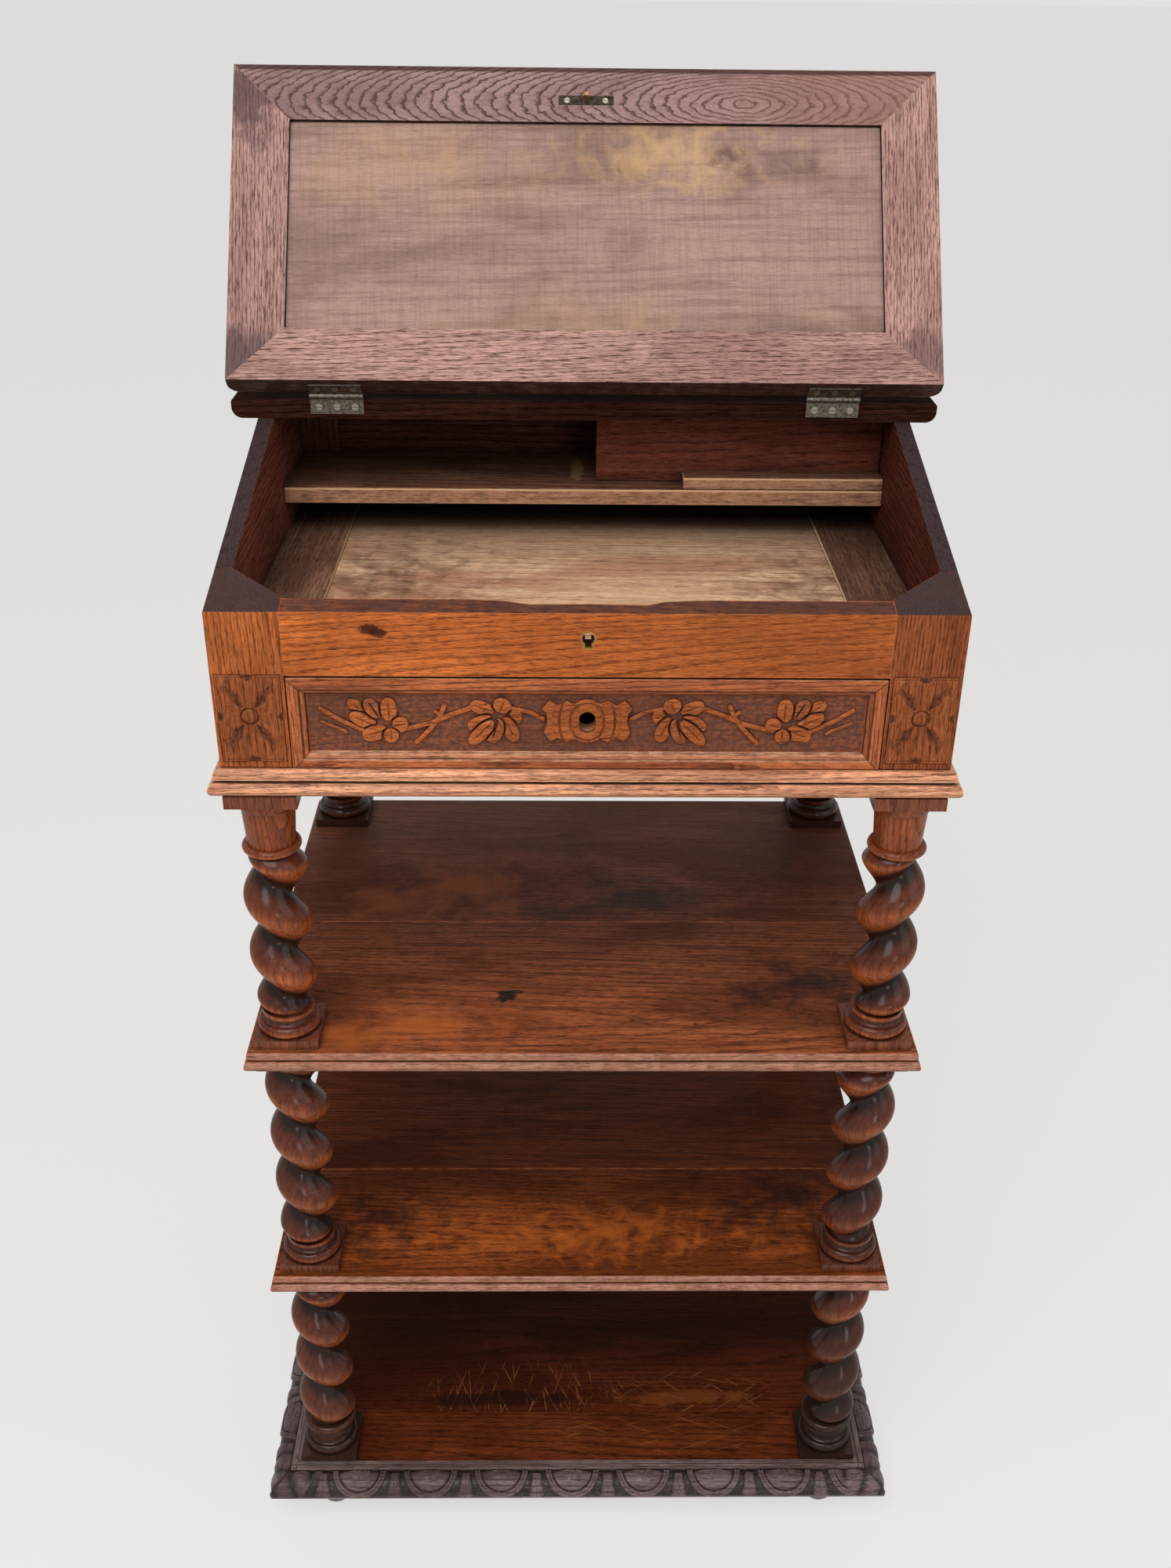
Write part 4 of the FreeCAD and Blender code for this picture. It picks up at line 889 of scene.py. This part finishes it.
print("column axes at x", round(front_axis.x, 4), "y", round(front_axis.y, 4), round(back_axis.y, 4))

# %% [markdown]
# ## Columns: wood and wax
# Wax has gone dark in the creases of the twist, deepened with painted shade. The undersides of the turns are
# a clear bronze, partly painted light from the floor below and partly clean of the dust that dulls the tops.
# The square blocks and the plain drums at the top keep a lighter brown. The lower a column stands, the darker
# it is coloured, and the back row is darkest, with dark wax and painted shade.

# %% Column wood
column_finish = oak_finish(
    92, 44, 28, spacing=0.007, wander=0.02, figure=0.25, patchy=0.6, pores=0.6, pore_width=0.001, rough=0.40,
    specular=0.05, coat=0.36, coat_rough=0.15, edge=0.0016, worn_share=0.3,
)
lit_underside_finish = oak_finish(164, 86, 46, spacing=0.007, figure=0.3, pores=0.8, pore_width=0.0011)
block_finish = oak_finish(116, 64, 44, figure=0.5)
drum_finish = oak_finish(136, 69, 36, spacing=0.004, pore_width=0.0012)
crease_radius, ridge_radius, block_radius = 0.0165, 0.0255, 0.0300
wood, pores, patch = oak_colour(tree, upright_place, column_finish)
lit_underside_wood, block_wood, drum_wood = (
    oak_colour(tree, upright_place, finish)[0] for finish in (lit_underside_finish, block_finish, drum_finish)
)
facing_up = parts(tree, add_node(tree, "TexCoord")["Normal"])[2]
# Faces turned down get the bronze colour: painted light from the floor below, while the dusty tops stay dark.
wood = mix(tree, ease(tree, facing_up, -0.25, 0.55, 0.9, 0.0), wood, lit_underside_wood)
ridge = ease(tree, from_axis, crease_radius, ridge_radius)
# The creases darken with dark wax and painted shade.
crease_wax_and_shade = calc(tree, "SUBTRACT", 0.92, calc(tree, "MULTIPLY", ridge, 0.92))
wood = mix(tree, crease_wax_and_shade, wood, paint(20, 9, 6))
square_block = ease(tree, from_axis, block_radius, block_radius + 0.0005)
wood = mix(tree, calc(tree, "MULTIPLY", square_block, 0.85), wood, block_wood)
drum = calc(tree, "MULTIPLY", ease(tree, z, 0.850, 0.858), ease(tree, z, 0.896, 0.903, 1.0, 0.0))
wood = mix(tree, calc(tree, "MULTIPLY", drum, 0.9), wood, drum_wood)
lower_tier = ease(tree, z, 0.14, 0.38, 0.34, 0.0)
middle_tier = calc(tree, "MULTIPLY", ease(tree, z, 0.30, 0.38), ease(tree, z, 0.60, 0.68, 0.3, 0.0))
lower_right = calc(tree, "MULTIPLY", ease(tree, x, -0.02, 0.02), ease(tree, z, 0.20, 0.36, 0.66, 0.0))
lowest_feet = ease(tree, z, 0.095, 0.13, 0.75, 0.0)
# The back row darkens with dark wax and painted shade.
back_row = ease(tree, y, -0.02, 0.02, 0.0, 0.80)
darkened = (
    (lower_tier, (66, 46, 39)), (middle_tier, (48, 32, 28)), (lower_right, (34, 20, 17)),
    (lowest_feet, (38, 28, 26)), (back_row, (28, 17, 14)),
)
for share, colour in darkened:
    wood = mix(tree, share, wood, paint(*colour))
finish_oak(tree, wood, pores, patch, column_finish)
column_names = [name for name in nodes if "_column_" in name]
for node_name in column_names:
    dress(node_name, material)
print(len(column_names), "columns dressed")

# %% [markdown]
# ## Metal
# The hinges, screws and strike plate are old steel, browned all over and rubbed bright on the edges.
# The keyhole's lining and the strike's pin are brass with a tarnish that is thicker in the corners.

# %% Metal
def old_metal(name, bright, tarnish, rough):
    material, tree = new_material(name)
    blotch = ease(tree, noise(tree, frame_place(tree), 320.0, 4.0, 0.65), 0.36, 0.64)
    age = place_group(tree, wear, Edge_Width=0.0007, Corner_Reach=0.004)
    bare_edge = calc(tree, "MULTIPLY", age["Edge"], 0.9)
    bare = calc(tree, "MAXIMUM", bare_edge, calc(tree, "MULTIPLY", blotch, 0.35))
    colour = mix(tree, bare, tarnish, bright)
    colour = mix(tree, ease(tree, age["Corner"], 0.3, 0.95), colour, paint(24, 18, 15))
    bump = add_node(tree, "Bump", {"Strength": 0.25, "Distance": 0.0003, "Height": blotch})
    set_shader(tree, {
        "Base Color": colour,
        "Roughness": ease(tree, bare, 0.0, 1.0, rough + 0.18, rough),
        "Metallic": 0.9,
        "Normal": bump["Normal"],
    })
    return material


steel = old_metal("old_steel", paint(176, 168, 156), paint(84, 74, 64), 0.36)
screw_steel = old_metal("rubbed_screw_steel", paint(206, 198, 184), paint(150, 142, 128), 0.34)
strike_steel = old_metal("browned_strike_steel", paint(112, 100, 88), paint(46, 36, 31), 0.5)
brass = old_metal("old_brass", paint(222, 178, 96), paint(138, 104, 52), 0.34)
metal_table = {
    "hinge_lid_leaves": steel, "hinge_fixed_leaves": steel, "hinge_pins": steel,
    "hinge_lid_screws": screw_steel, "hinge_fixed_screws": screw_steel, "strike_screws": screw_steel,
    "strike_plate": strike_steel, "keyhole_insert": brass, "strike_pin": brass,
}
for node_name, metal in metal_table.items():
    dress(node_name, metal)
print(len(metal_table), "metal pieces dressed")

# %% [markdown]
# ## Carving: the sheet
# A carver sinks the ground and leaves the leaves standing. The same can be done with a fine grid whose
# points are lifted by a height. One function makes the grid into a closed piece with a flat back, sunk
# a little into the wood behind it, and stores each point's height, so that the finish can darken the
# ground and rub the tops.

# %% Carving sheet
import numpy as np


def closed_sheet(name, front, back, height, keep, body):
    """A closed piece from two grids of points (rows, columns, 3); keep says which cells are there."""
    rows, columns = height.shape
    index = np.arange(rows * columns).reshape(rows, columns)
    cells = np.stack([index[:-1, :-1], index[:-1, 1:], index[1:, 1:], index[1:, :-1]], axis=-1)[keep]
    edges = np.concatenate([cells[:, [i, (i + 1) % 4]] for i in range(4)])
    code = np.sort(edges, axis=1) @ np.array([rows * columns, 1])
    _, where, count = np.unique(code, return_index=True, return_counts=True)
    rim = edges[where[count == 1]]
    shift = rows * columns
    walls = np.stack([rim[:, 1], rim[:, 0], rim[:, 0] + shift, rim[:, 1] + shift], axis=-1)
    faces = np.concatenate([cells, cells[:, ::-1] + shift, walls])
    used, packed = np.unique(faces, return_inverse=True)
    points = np.concatenate([front.reshape(-1, 3), back.reshape(-1, 3)])[used]
    level = np.concatenate([height.ravel(), np.zeros(shift)])[used]
    mesh = bpy.data.meshes.new(name)
    mesh.from_pydata(points.tolist(), [], packed.reshape(-1, 4).tolist())
    mesh.attributes.new("relief", "FLOAT", "POINT").data.foreach_set("value", level.astype(np.float32))
    mesh.shade_smooth()
    mesh.set_sharp_from_angle(angle=math.radians(50))
    piece = bpy.data.objects.new(name, mesh)
    scene.collection.objects.link(piece)
    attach(piece, body)
    print(name, "has", len(cells), "cells, highest point", round(float(level.max()), 2), "mm")
    return piece


def rise(value, start, end):
    """Smooth step from 0 at start to 1 at end, on arrays."""
    share = np.clip((value - start) / (end - start), 0.0, 1.0)
    return share * share * (3.0 - 2.0 * share)


def tool_marks(shape, seed, blur):
    """Small uneven marks, about one high and deep."""
    marks = np.random.default_rng(seed).normal(size=shape)
    for _ in range(blur):
        for axis in (0, 1):
            marks = (marks + np.roll(marks, 1, axis) + np.roll(marks, -1, axis)) / 3.0
    return marks / np.abs(marks).max()


print("carving tools ready")

# %% [markdown]
# ## Carving: vine leaves on the drawer
# A bent twig runs from each end to the middle, with two sprays of round-lobed leaves and a scrolled shield
# round the keyhole. A lobe is an oval from its root to its tip with a vein; a twig is a bent rod. Each new
# lobe first sinks a narrow moat into what is there, so that its outline shows, and where pieces overlap the
# higher one wins, as it would under the gouge. Places and sizes are in millimetres of the frame, for one half
# of the drawer; the other half is its mirror image.

# %% Drawer carving
drawer_low, drawer_high = (corner * 1000 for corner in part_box("drawer_front"))
ground_y = drawer_low.y + 7.0
field_x, field_bottom, field_top = 234.6, 953.7, 1007.1
grid_step = 0.55
grid_x = np.arange(-field_x, field_x + 0.01, grid_step)
grid_z = np.arange(field_bottom, field_top + 0.01, grid_step)
X, Z = np.meshgrid(grid_x, grid_z)
height = np.zeros_like(X)


def lobe(root, tip, half, top, vein=1.5):
    (x0, z0), (x1, z1) = root, tip
    length = math.hypot(x1 - x0, z1 - z0)
    along = ((X - x0) * (x1 - x0) + (Z - z0) * (z1 - z0)) / length**2
    across = ((X - x0) * (z1 - z0) - (Z - z0) * (x1 - x0)) / length
    oval = np.abs((along - 0.53) / 0.53) ** 2.2 + np.abs(across / half) ** 2.2
    inside = (1.0 - oval ** (1 / 2.2)) * half
    dome = top * (0.78 + 0.22 * np.sqrt(np.clip(1.0 - (across / half) ** 2, 0.0, 1.0)))
    cut = vein * np.exp(-((across / 0.7) ** 2)) * rise(along, 0.0, 0.2) * rise(along, 0.92, 0.7)
    return rise(inside, 0.0, 1.1) * (dome - cut), np.exp(-((inside / 0.9) ** 2))


def twig(points, half, top, groove=0.4):
    nearest = np.full_like(X, 1e3)
    for (x0, z0), (x1, z1) in zip(points, points[1:]):
        span = (x1 - x0) ** 2 + (z1 - z0) ** 2
        share = np.clip(((X - x0) * (x1 - x0) + (Z - z0) * (z1 - z0)) / span, 0.0, 1.0)
        nearest = np.minimum(nearest, np.hypot(X - x0 - share * (x1 - x0), Z - z0 - share * (z1 - z0)))
    rod = np.sqrt(np.clip(1.0 - (nearest / half) ** 2, 0.0, 1.0))
    return top * rod - groove * np.exp(-((nearest / 0.5) ** 2)) * (rod > 0)


lobes = [
    ((-181.0, 985.5), (-200.0, 1001.5), 5.2, 3.6), ((-176.5, 977.0), (-199.5, 989.0), 5.3, 3.9),
    ((-174.5, 984.5), (-185.0, 1003.0), 5.7, 2.2), ((-166.0, 982.0), (-167.0, 1004.0), 6.0, 3.8),
    ((-164.5, 978.5), (-151.0, 981.0), 6.0, 4.4), ((-168.0, 975.5), (-189.5, 968.0), 6.0, 3.9),
    ((-165.5, 976.5), (-165.5, 963.0), 5.7, 3.6),
    ((-77.5, 991.0), (-98.0, 999.0), 5.4, 3.8), ((-74.0, 991.0), (-69.0, 1003.5), 6.7, 4.0),
    ((-66.5, 988.5), (-55.0, 986.5), 5.7, 4.4), ((-70.5, 987.5), (-60.0, 964.5), 5.7, 3.8),
    ((-74.5, 986.0), (-81.0, 962.5), 6.4, 2.4), ((-79.0, 986.5), (-100.5, 977.0), 5.3, 4.0),
    ((-78.5, 984.0), (-99.5, 961.5), 5.4, 3.7),
]
twigs = [
    ([(-224.0, 994.0), (-208.0, 983.5), (-189.0, 974.0)], 2.5, 2.9),
    ([(-224.0, 982.0), (-207.0, 974.5)], 1.9, 2.4),
    ([(-207.0, 974.5), (-203.0, 972.0)], 2.0, 2.6),
    ([(-152.0, 975.5), (-131.0, 981.0), (-117.5, 987.5), (-97.0, 995.5)], 2.7, 3.0),
    ([(-144.0, 963.0), (-131.0, 977.0), (-123.5, 987.5), (-120.0, 997.0)], 2.5, 3.5),
    ([(-123.5, 987.5), (-128.0, 992.0)], 1.9, 3.1),
    ([(-64.0, 995.0), (-48.5, 991.5), (-37.0, 985.0)], 2.3, 3.0),
]
lobe_spread, moat_depth = 1.25, 0.8
for side in (1, -1):
    for root, tip, half, top in lobes:
        leaf, moat = lobe((side * root[0], root[1]), (side * tip[0], tip[1]), lobe_spread * half, top)
        height = np.maximum(height * (1.0 - moat_depth * moat), leaf)
    for points, half, top in twigs:
        height = np.maximum(height, twig([(side * px, pz) for px, pz in points], half, top))
print("vine:", 2 * len(lobes), "lobes and", 2 * len(twigs), "twigs")

# %% [markdown]
# ## Carving: the shield and the ground
# The shield round the keyhole is the same left and right, so only the distance from the middle counts. Its
# outline is given by a few points on its side, its top and its bottom. Scrolls are grooves cut into it, and
# a raised ring lines the keyhole. The ground is stippled with a punch, so that it looks matt beside the
# leaves.

# %% Drawer shield
side_z = (962.0, 963.5, 972.5, 982.5, 990.5, 995.0, 1003.0, 1005.0)
side_x = (29.0, 31.0, 37.5, 34.5, 35.0, 39.0, 32.0, 29.0)
top_x = (0.0, 5.0, 11.0, 17.5, 24.5, 32.0, 40.0)
top_z = (1004.5, 1003.5, 1000.0, 1003.0, 998.5, 1003.5, 996.0)
low_z = (962.5, 963.5, 966.0, 963.0, 967.0, 963.5, 968.0)
far = np.abs(X)
margin = np.minimum(np.interp(Z, side_z, side_x) - far, np.interp(far, top_x, top_z) - Z)
margin = np.minimum(margin, Z - np.interp(far, top_x, low_z))
shield = 3.4 + 0.7 * np.cos((far - 31.0) / 7.5 * math.pi / 2) * (far > 23.0)
scroll_x = 23.5 - 0.011 * (Z - 983.0) ** 2
shield -= 1.7 * np.exp(-(((far - scroll_x) / 0.9) ** 2))
shield -= 0.8 * np.exp(-(((far - scroll_x - 5.0) / 0.7) ** 2))
hole_z = (drawer_low.z + drawer_high.z) / 2 + 0.3
reach_z = np.maximum(np.abs(Z - hole_z) - 3.0, 0.0)
from_hole = np.hypot(X, reach_z)
shield -= 1.5 * np.exp(-(((from_hole - 14.2) / 1.0) ** 2))
shield += 1.0 * np.sqrt(np.clip(1.0 - ((from_hole - 10.0) / 3.2) ** 2, 0.0, 1.0))
height = np.maximum(height, rise(margin, 0.0, 1.1) * shield)

stipple = tool_marks(height.shape, 7, 1)
height = 0.55 + height + 0.22 * stipple * rise(height, 1.2, 0.2) + 0.10 * tool_marks(height.shape, 11, 3)
keep_points = from_hole > 6.6
keep_cells = keep_points[:-1, :-1] & keep_points[1:, :-1] & keep_points[:-1, 1:] & keep_points[1:, 1:]
front = np.stack([X, ground_y - height, Z], axis=-1) / 1000
back = np.stack([X, np.full_like(X, ground_y + 0.8), Z], axis=-1) / 1000
drawer_carving = closed_sheet("drawer_vine_carving", front, back, height, keep_cells, "drawer")

# %% [markdown]
# ## Carving: rosettes on the posts
# Beside the drawer each post carries a square flower: a round boss, four broad petals that reach the
# scribed border, and sunk wedges between them with a cut down the middle. Half-round gouge cuts nick the
# border at the middle of each side.

# %% Post rosettes
def rosette(name, side):
    face_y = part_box(name)[0].y * 1000
    middle_x, middle_z, half_x, half_z = 281.2, 987.0, 27.6, 40.6
    U, V = np.meshgrid(np.arange(-half_x, half_x + 0.01, 0.5), np.arange(-half_z, half_z + 0.01, 0.5))
    boss_u, boss_v = U + 0.9, V - 2.4
    radius = np.hypot(boss_u, boss_v)
    spread = np.hypot(boss_u / half_x, boss_v / half_z)
    bearing = np.arctan2(boss_v / half_z, boss_u / half_x)
    off_diagonal = np.abs(np.cos(2.0 * bearing))
    petal_edge = 0.50 + 0.10 * np.sin(14.0 * spread)
    wedge = rise(off_diagonal, petal_edge, petal_edge - 0.25)
    wedge = wedge * rise(spread, 0.24, 0.36) * rise(spread, 1.12, 1.0)
    level = 1.7 - wedge * (1.15 - 0.6 * spread)
    cut = np.exp(-((off_diagonal * radius / 1.3) ** 2))
    level -= 0.9 * cut * rise(spread, 0.2, 0.3) * rise(spread, 1.0, 0.85)
    vein = np.exp(-((np.minimum(np.abs(boss_u), np.abs(boss_v)) / 0.6) ** 2))
    level -= 0.35 * vein * rise(spread, 0.75, 0.5)
    fold = np.exp(-(((off_diagonal - 0.86) * radius / 2.0) ** 2))
    level -= 0.45 * fold * rise(spread, 0.25, 0.4) * rise(spread, 0.9, 0.6)
    moat_level, moat_radius, boss_radius = 0.7, 8.0, 6.6
    level = np.where(radius < moat_radius, moat_level, level)
    dome = np.sqrt(np.clip(1.0 - (radius / boss_radius) ** 2, 0.0, 1.0)) * (radius < boss_radius)
    level = np.maximum(level, moat_level + 2.1 * dome)
    nicks = ((0, half_z - 1, 6.0), (0, 1 - half_z, 6.0), (half_x - 1, 2, 5.0), (1 - half_x, 2, 5.0))
    for nick_u, nick_v, size in nicks:
        level -= rise(np.hypot(U - nick_u, V - nick_v), size, size - 2.5)
    inset = np.minimum(half_x - np.abs(U), half_z - np.abs(V))
    level -= 0.7 * np.exp(-(((inset - 2.4) / 0.55) ** 2))
    level = 0.12 + np.maximum(level, 0.25) * rise(inset, 0.0, 1.4)
    level += 0.06 * tool_marks(level.shape, 23 + side, 2) * rise(inset, 0.5, 1.5)
    across = side * middle_x + U
    front = np.stack([across, face_y - level, middle_z + V], axis=-1) / 1000
    back = np.stack([across, np.full_like(U, face_y + 0.8), middle_z + V], axis=-1) / 1000
    keep = np.ones((U.shape[0] - 1, U.shape[1] - 1), bool)
    piece_name = ("right" if side > 0 else "left") + "_post_rosette"
    return closed_sheet(piece_name, front, back, level, keep, "desk")


post_rosettes = [rosette("left_front_post", -1), rosette("right_front_post", 1)]

# %% [markdown]
# ## Carving: the base moulding
# Looped ribbons run round the front and the sides of the base. Each loop hangs from the top bead and holds a
# small shell; a tongue fills the gap between two loops, and a curled leaf covers each mitre. The sheet
# follows the moulding's round face: a circle through three points of its section.

# %% Base carving
base_low, base_high = (corner * 1000 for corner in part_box("base_front_moulding"))
tip_x, tip_y, base_z = base_high.x, base_low.y, base_low.z
side_end_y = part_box("base_left_moulding")[1].y * 1000
toe, belly, shoulder = (0.0, 5.2), (-6.2, 18.6), (-20.5, 21.5)
(ax, az), (bx, bz), (cx, cz) = toe, belly, shoulder
turn_sum = 2 * (ax * (bz - cz) + bx * (cz - az) + cx * (az - bz))
sums = [px**2 + pz**2 for px, pz in (toe, belly, shoulder)]
centre_out = (sums[0] * (bz - cz) + sums[1] * (cz - az) + sums[2] * (az - bz)) / turn_sum
centre_up = (sums[0] * (cx - bx) + sums[1] * (ax - cx) + sums[2] * (bx - ax)) / turn_sum
round_radius = math.hypot(ax - centre_out, az - centre_up)
start_angle = math.atan2(cz - centre_up, cx - centre_out)
end_angle = math.atan2(az - centre_up, ax - centre_out)
face_length = round_radius * (start_angle - end_angle)
print("round face: radius", round(round_radius, 1), "mm, length", round(face_length, 1), "mm")

# %% [markdown]
# ## Carving: ribbons on the round face
# A height is worked out for each length along the moulding and each length down its face. The pattern
# repeats with one pitch, so only the distance from the nearest loop's middle is needed. Near a mitre the
# leaf takes over.

# %% Base ribbons
def ribbon_height(run, down, pitch, first):
    """Height of the carving at a length along the moulding and a length down its round face."""
    loop = (run - first + pitch / 2) % pitch - pitch / 2
    hang = face_length * 0.86
    ring = (np.hypot(loop / (pitch * 0.335), down / hang) - 1.0) * hang
    band = np.sqrt(np.clip(1.0 - (ring / 3.4) ** 4, 0.0, 1.0)) * 2.6 - 1.2 * np.exp(-((ring / 0.7) ** 2))
    within = rise(ring, -3.2, -5.0)
    shell = np.abs(np.sin(np.arctan2(down + 1.0, loop) * 4.0)) ** 0.7
    swell = np.sqrt(np.clip(1.0 - (loop / 22.0) ** 2 - ((down - 9.0) / 13.0) ** 2, 0.0, 1.0))
    egg = within * (0.9 + 1.3 * swell)
    egg += within * 0.9 * shell * rise(np.hypot(loop, down), 13.0, 7.0)
    egg -= within * 0.6 * rise(np.hypot(loop, down - 4.0), 2.6, 1.2)
    side_gap = np.abs(loop) - pitch / 2
    tongue_half = 4.0 + 6.0 * down / face_length
    tongue = np.clip(1.0 - (side_gap / tongue_half) ** 2, 0.0, 1.0) ** 0.5
    outside = rise(ring, 3.2, 5.0)
    spear = outside * (1.9 * tongue * rise(down, 1.0, 5.0) - 0.6 * np.exp(-((side_gap / 0.8) ** 2)))
    return 0.35 + np.maximum(np.maximum(band, egg), spear)


def corner_leaf(run, down):
    """A curled leaf over a mitre; run is the length from the mitre."""
    rib = np.abs(np.sin((run - 1.1 * down) / 7.5))
    body = rise(run, 44.0, 30.0)
    return body * (0.6 + 1.9 * rib), body


def moulding_carving(name, start, end, motif_first, place, seed, mitred_end):
    """The sheet of one moulding; place turns a length along, out and up into a point of the frame."""
    run = np.arange(0.0, 1.0 + 1e-9, 0.75 / (end - start))
    turn = np.linspace(start_angle, end_angle, 40)
    T, A = np.meshgrid(run, turn)
    out, up = centre_out + round_radius * np.cos(A), centre_up + round_radius * np.sin(A)
    begin, finish = start - out, end + (out if mitred_end else 0.0)
    length = begin + T * (finish - begin)
    down = round_radius * (start_angle - A)
    level = ribbon_height(length, down, loop_pitch, motif_first)
    ends = [length - begin] + ([finish - length] if mitred_end else [])
    for from_mitre in ends:
        leaf, body = corner_leaf(from_mitre, down)
        level = level * (1.0 - body) + leaf
        level *= rise(from_mitre, 0.0, 3.0) * 0.85 + 0.15
    level *= rise(down, 0.0, 1.6) * rise(face_length - down, 0.0, 2.2)
    level = level + 0.10 + 0.16 * tool_marks(level.shape, seed, 2)
    front = place(length, out + level * np.cos(A), base_z + up + level * np.sin(A)) / 1000
    back = place(length, out - 0.9 * np.cos(A), base_z + up - 0.9 * np.sin(A)) / 1000
    keep = np.ones((T.shape[0] - 1, T.shape[1] - 1), bool)
    return closed_sheet(name, front, back, level, keep, "desk")


loop_pitch = 79.0
base_carvings = [
    moulding_carving("base_front_ribbon_carving", -tip_x, tip_x, -7.0,
                     lambda run, out, up: np.stack([run, tip_y - out, up], axis=-1), 31, True),
    moulding_carving("base_left_ribbon_carving", tip_y, side_end_y, tip_y + 92.0,
                     lambda run, out, up: np.stack([-tip_x - out, run, up], axis=-1), 37, False),
    moulding_carving("base_right_ribbon_carving", tip_y, side_end_y, tip_y + 92.0,
                     lambda run, out, up: np.stack([tip_x + out, run, up], axis=-1), 41, False),
]

# %% [markdown]
# ## Finish of the carving
# The carved wood is the same oak as the board behind it, but the ground is stained darker and carries painted
# shade, which sets off the leaves, and the tops are rubbed. On the drawer and the base a painted shadow also
# darkens the foot of each leaf and loop where it rises from its ground. The stored height tells the finish
# which is which.

# %% Carving finish
def carved_oak(name, like, grain, heart, finish, ground, low, high, outline_shade=0.0):
    """Oak stained and painted with shade below a low height and clean above a high one, with a painted shadow
    near the low one.
    """
    material, tree = new_material(name)
    place = board_space(tree, like, grain, heart)
    wood, pores, patch = oak_colour(tree, place, finish)
    stored = add_node(tree, "Attribute", attribute_name="relief")["Fac"]
    top = ease(tree, stored, low, high)
    mottled = ease(tree, noise(tree, frame_place(tree), 260.0, 3.0, 0.6), 0.38, 0.62, 0.55, 0.92)
    # The low ground gets stain and painted shade.
    wood = mix(tree, top, mix(tree, mottled, wood, ground), wood)
    # A painted shadow rings the foot of the raised carving.
    from_wall = calc(tree, "ABSOLUTE", calc(tree, "SUBTRACT", stored, low))
    wood = mix(tree, ease(tree, from_wall, 0.25, 0.65, outline_shade, 0.0), wood, wax_and_shade_dark)
    finish_oak(tree, wood, pores, patch, finish)
    return material


small_cuts = dict(grime_share=0.9, worn_share=0.6, figure=0.4)
vine_finish = dict(case_front_finish, reach=0.006, edge=0.0012, specular=0.15, faces=[], **small_cuts)
rosette_finish = shifted(
    case_front_finish, 0.76, 0.80, 0.96, reach=0.004, edge=0.0010, faces=[], **small_cuts
)
ribbon_finish = shifted(
    base_moulding_finish, 0.80, 0.74, 0.76, reach=0.006, edge=0.0014, coat=0.1, **small_cuts
)
vine_oak = carved_oak(
    "vine_oak", "drawer_front", "x", (2.4, -0.07, 0.04), vine_finish, paint(92, 59, 52), 1.5, 3.4, 0.85
)
drawer_carving.data.materials.append(vine_oak)
for piece, like in zip(post_rosettes, ("left_front_post", "right_front_post")):
    rosette_oak = carved_oak(
        like + "_rosette_oak", like, "z", (0.8, -0.05, 0.06), rosette_finish, paint(58, 31, 24), 0.75, 1.66
    )
    piece.data.materials.append(rosette_oak)
base_sides = (("base_front_moulding", "x"), ("base_left_moulding", "y"), ("base_right_moulding", "y"))
for piece, (like, grain) in zip(base_carvings, base_sides):
    ribbon_oak = carved_oak(
        like + "_ribbon_oak", like, grain, (0.9, 0.05, 0.04), ribbon_finish, paint(32, 24, 23), 0.8, 2.5, 0.3
    )
    piece.data.materials.append(ribbon_oak)
print("carving finished on", 1 + len(post_rosettes) + len(base_carvings), "pieces")

# %% [markdown]
# ## Soft edges
# No real board has a knife edge. The solids arrive with their faces split apart at every edge, so a Weld
# modifier joins them first, and a Bevel modifier then rounds what is sharper than 35 degrees. The front rail
# is left as it is: the keyhole cuts its face into long thin triangles, which a bevel would crease.

# %% Soft edges
def soften(node_name, width):
    part = nodes[node_name]
    weld = part.modifiers.new("join_faces", "WELD")
    weld.merge_threshold = 0.00002
    bevel = part.modifiers.new("soft_edge", "BEVEL")
    bevel.width = width
    bevel.segments = 2
    bevel.limit_method = "ANGLE"
    bevel.angle_limit = math.radians(35)
    bevel.use_clamp_overlap = True


usual_width = 0.0011
soft_width = {
    "lid_panel": 0.0006, "drawer_front": 0.0006, "inner_drawer_walls": 0.0005, "inner_drawer_ends": 0.0005
}
boards = [name for name in (*board_table, "drawer_front") if name != "front_rail"]
for node_name in boards:
    soften(node_name, soft_width.get(node_name, usual_width))
print("edges of", len(boards), "boards softened")
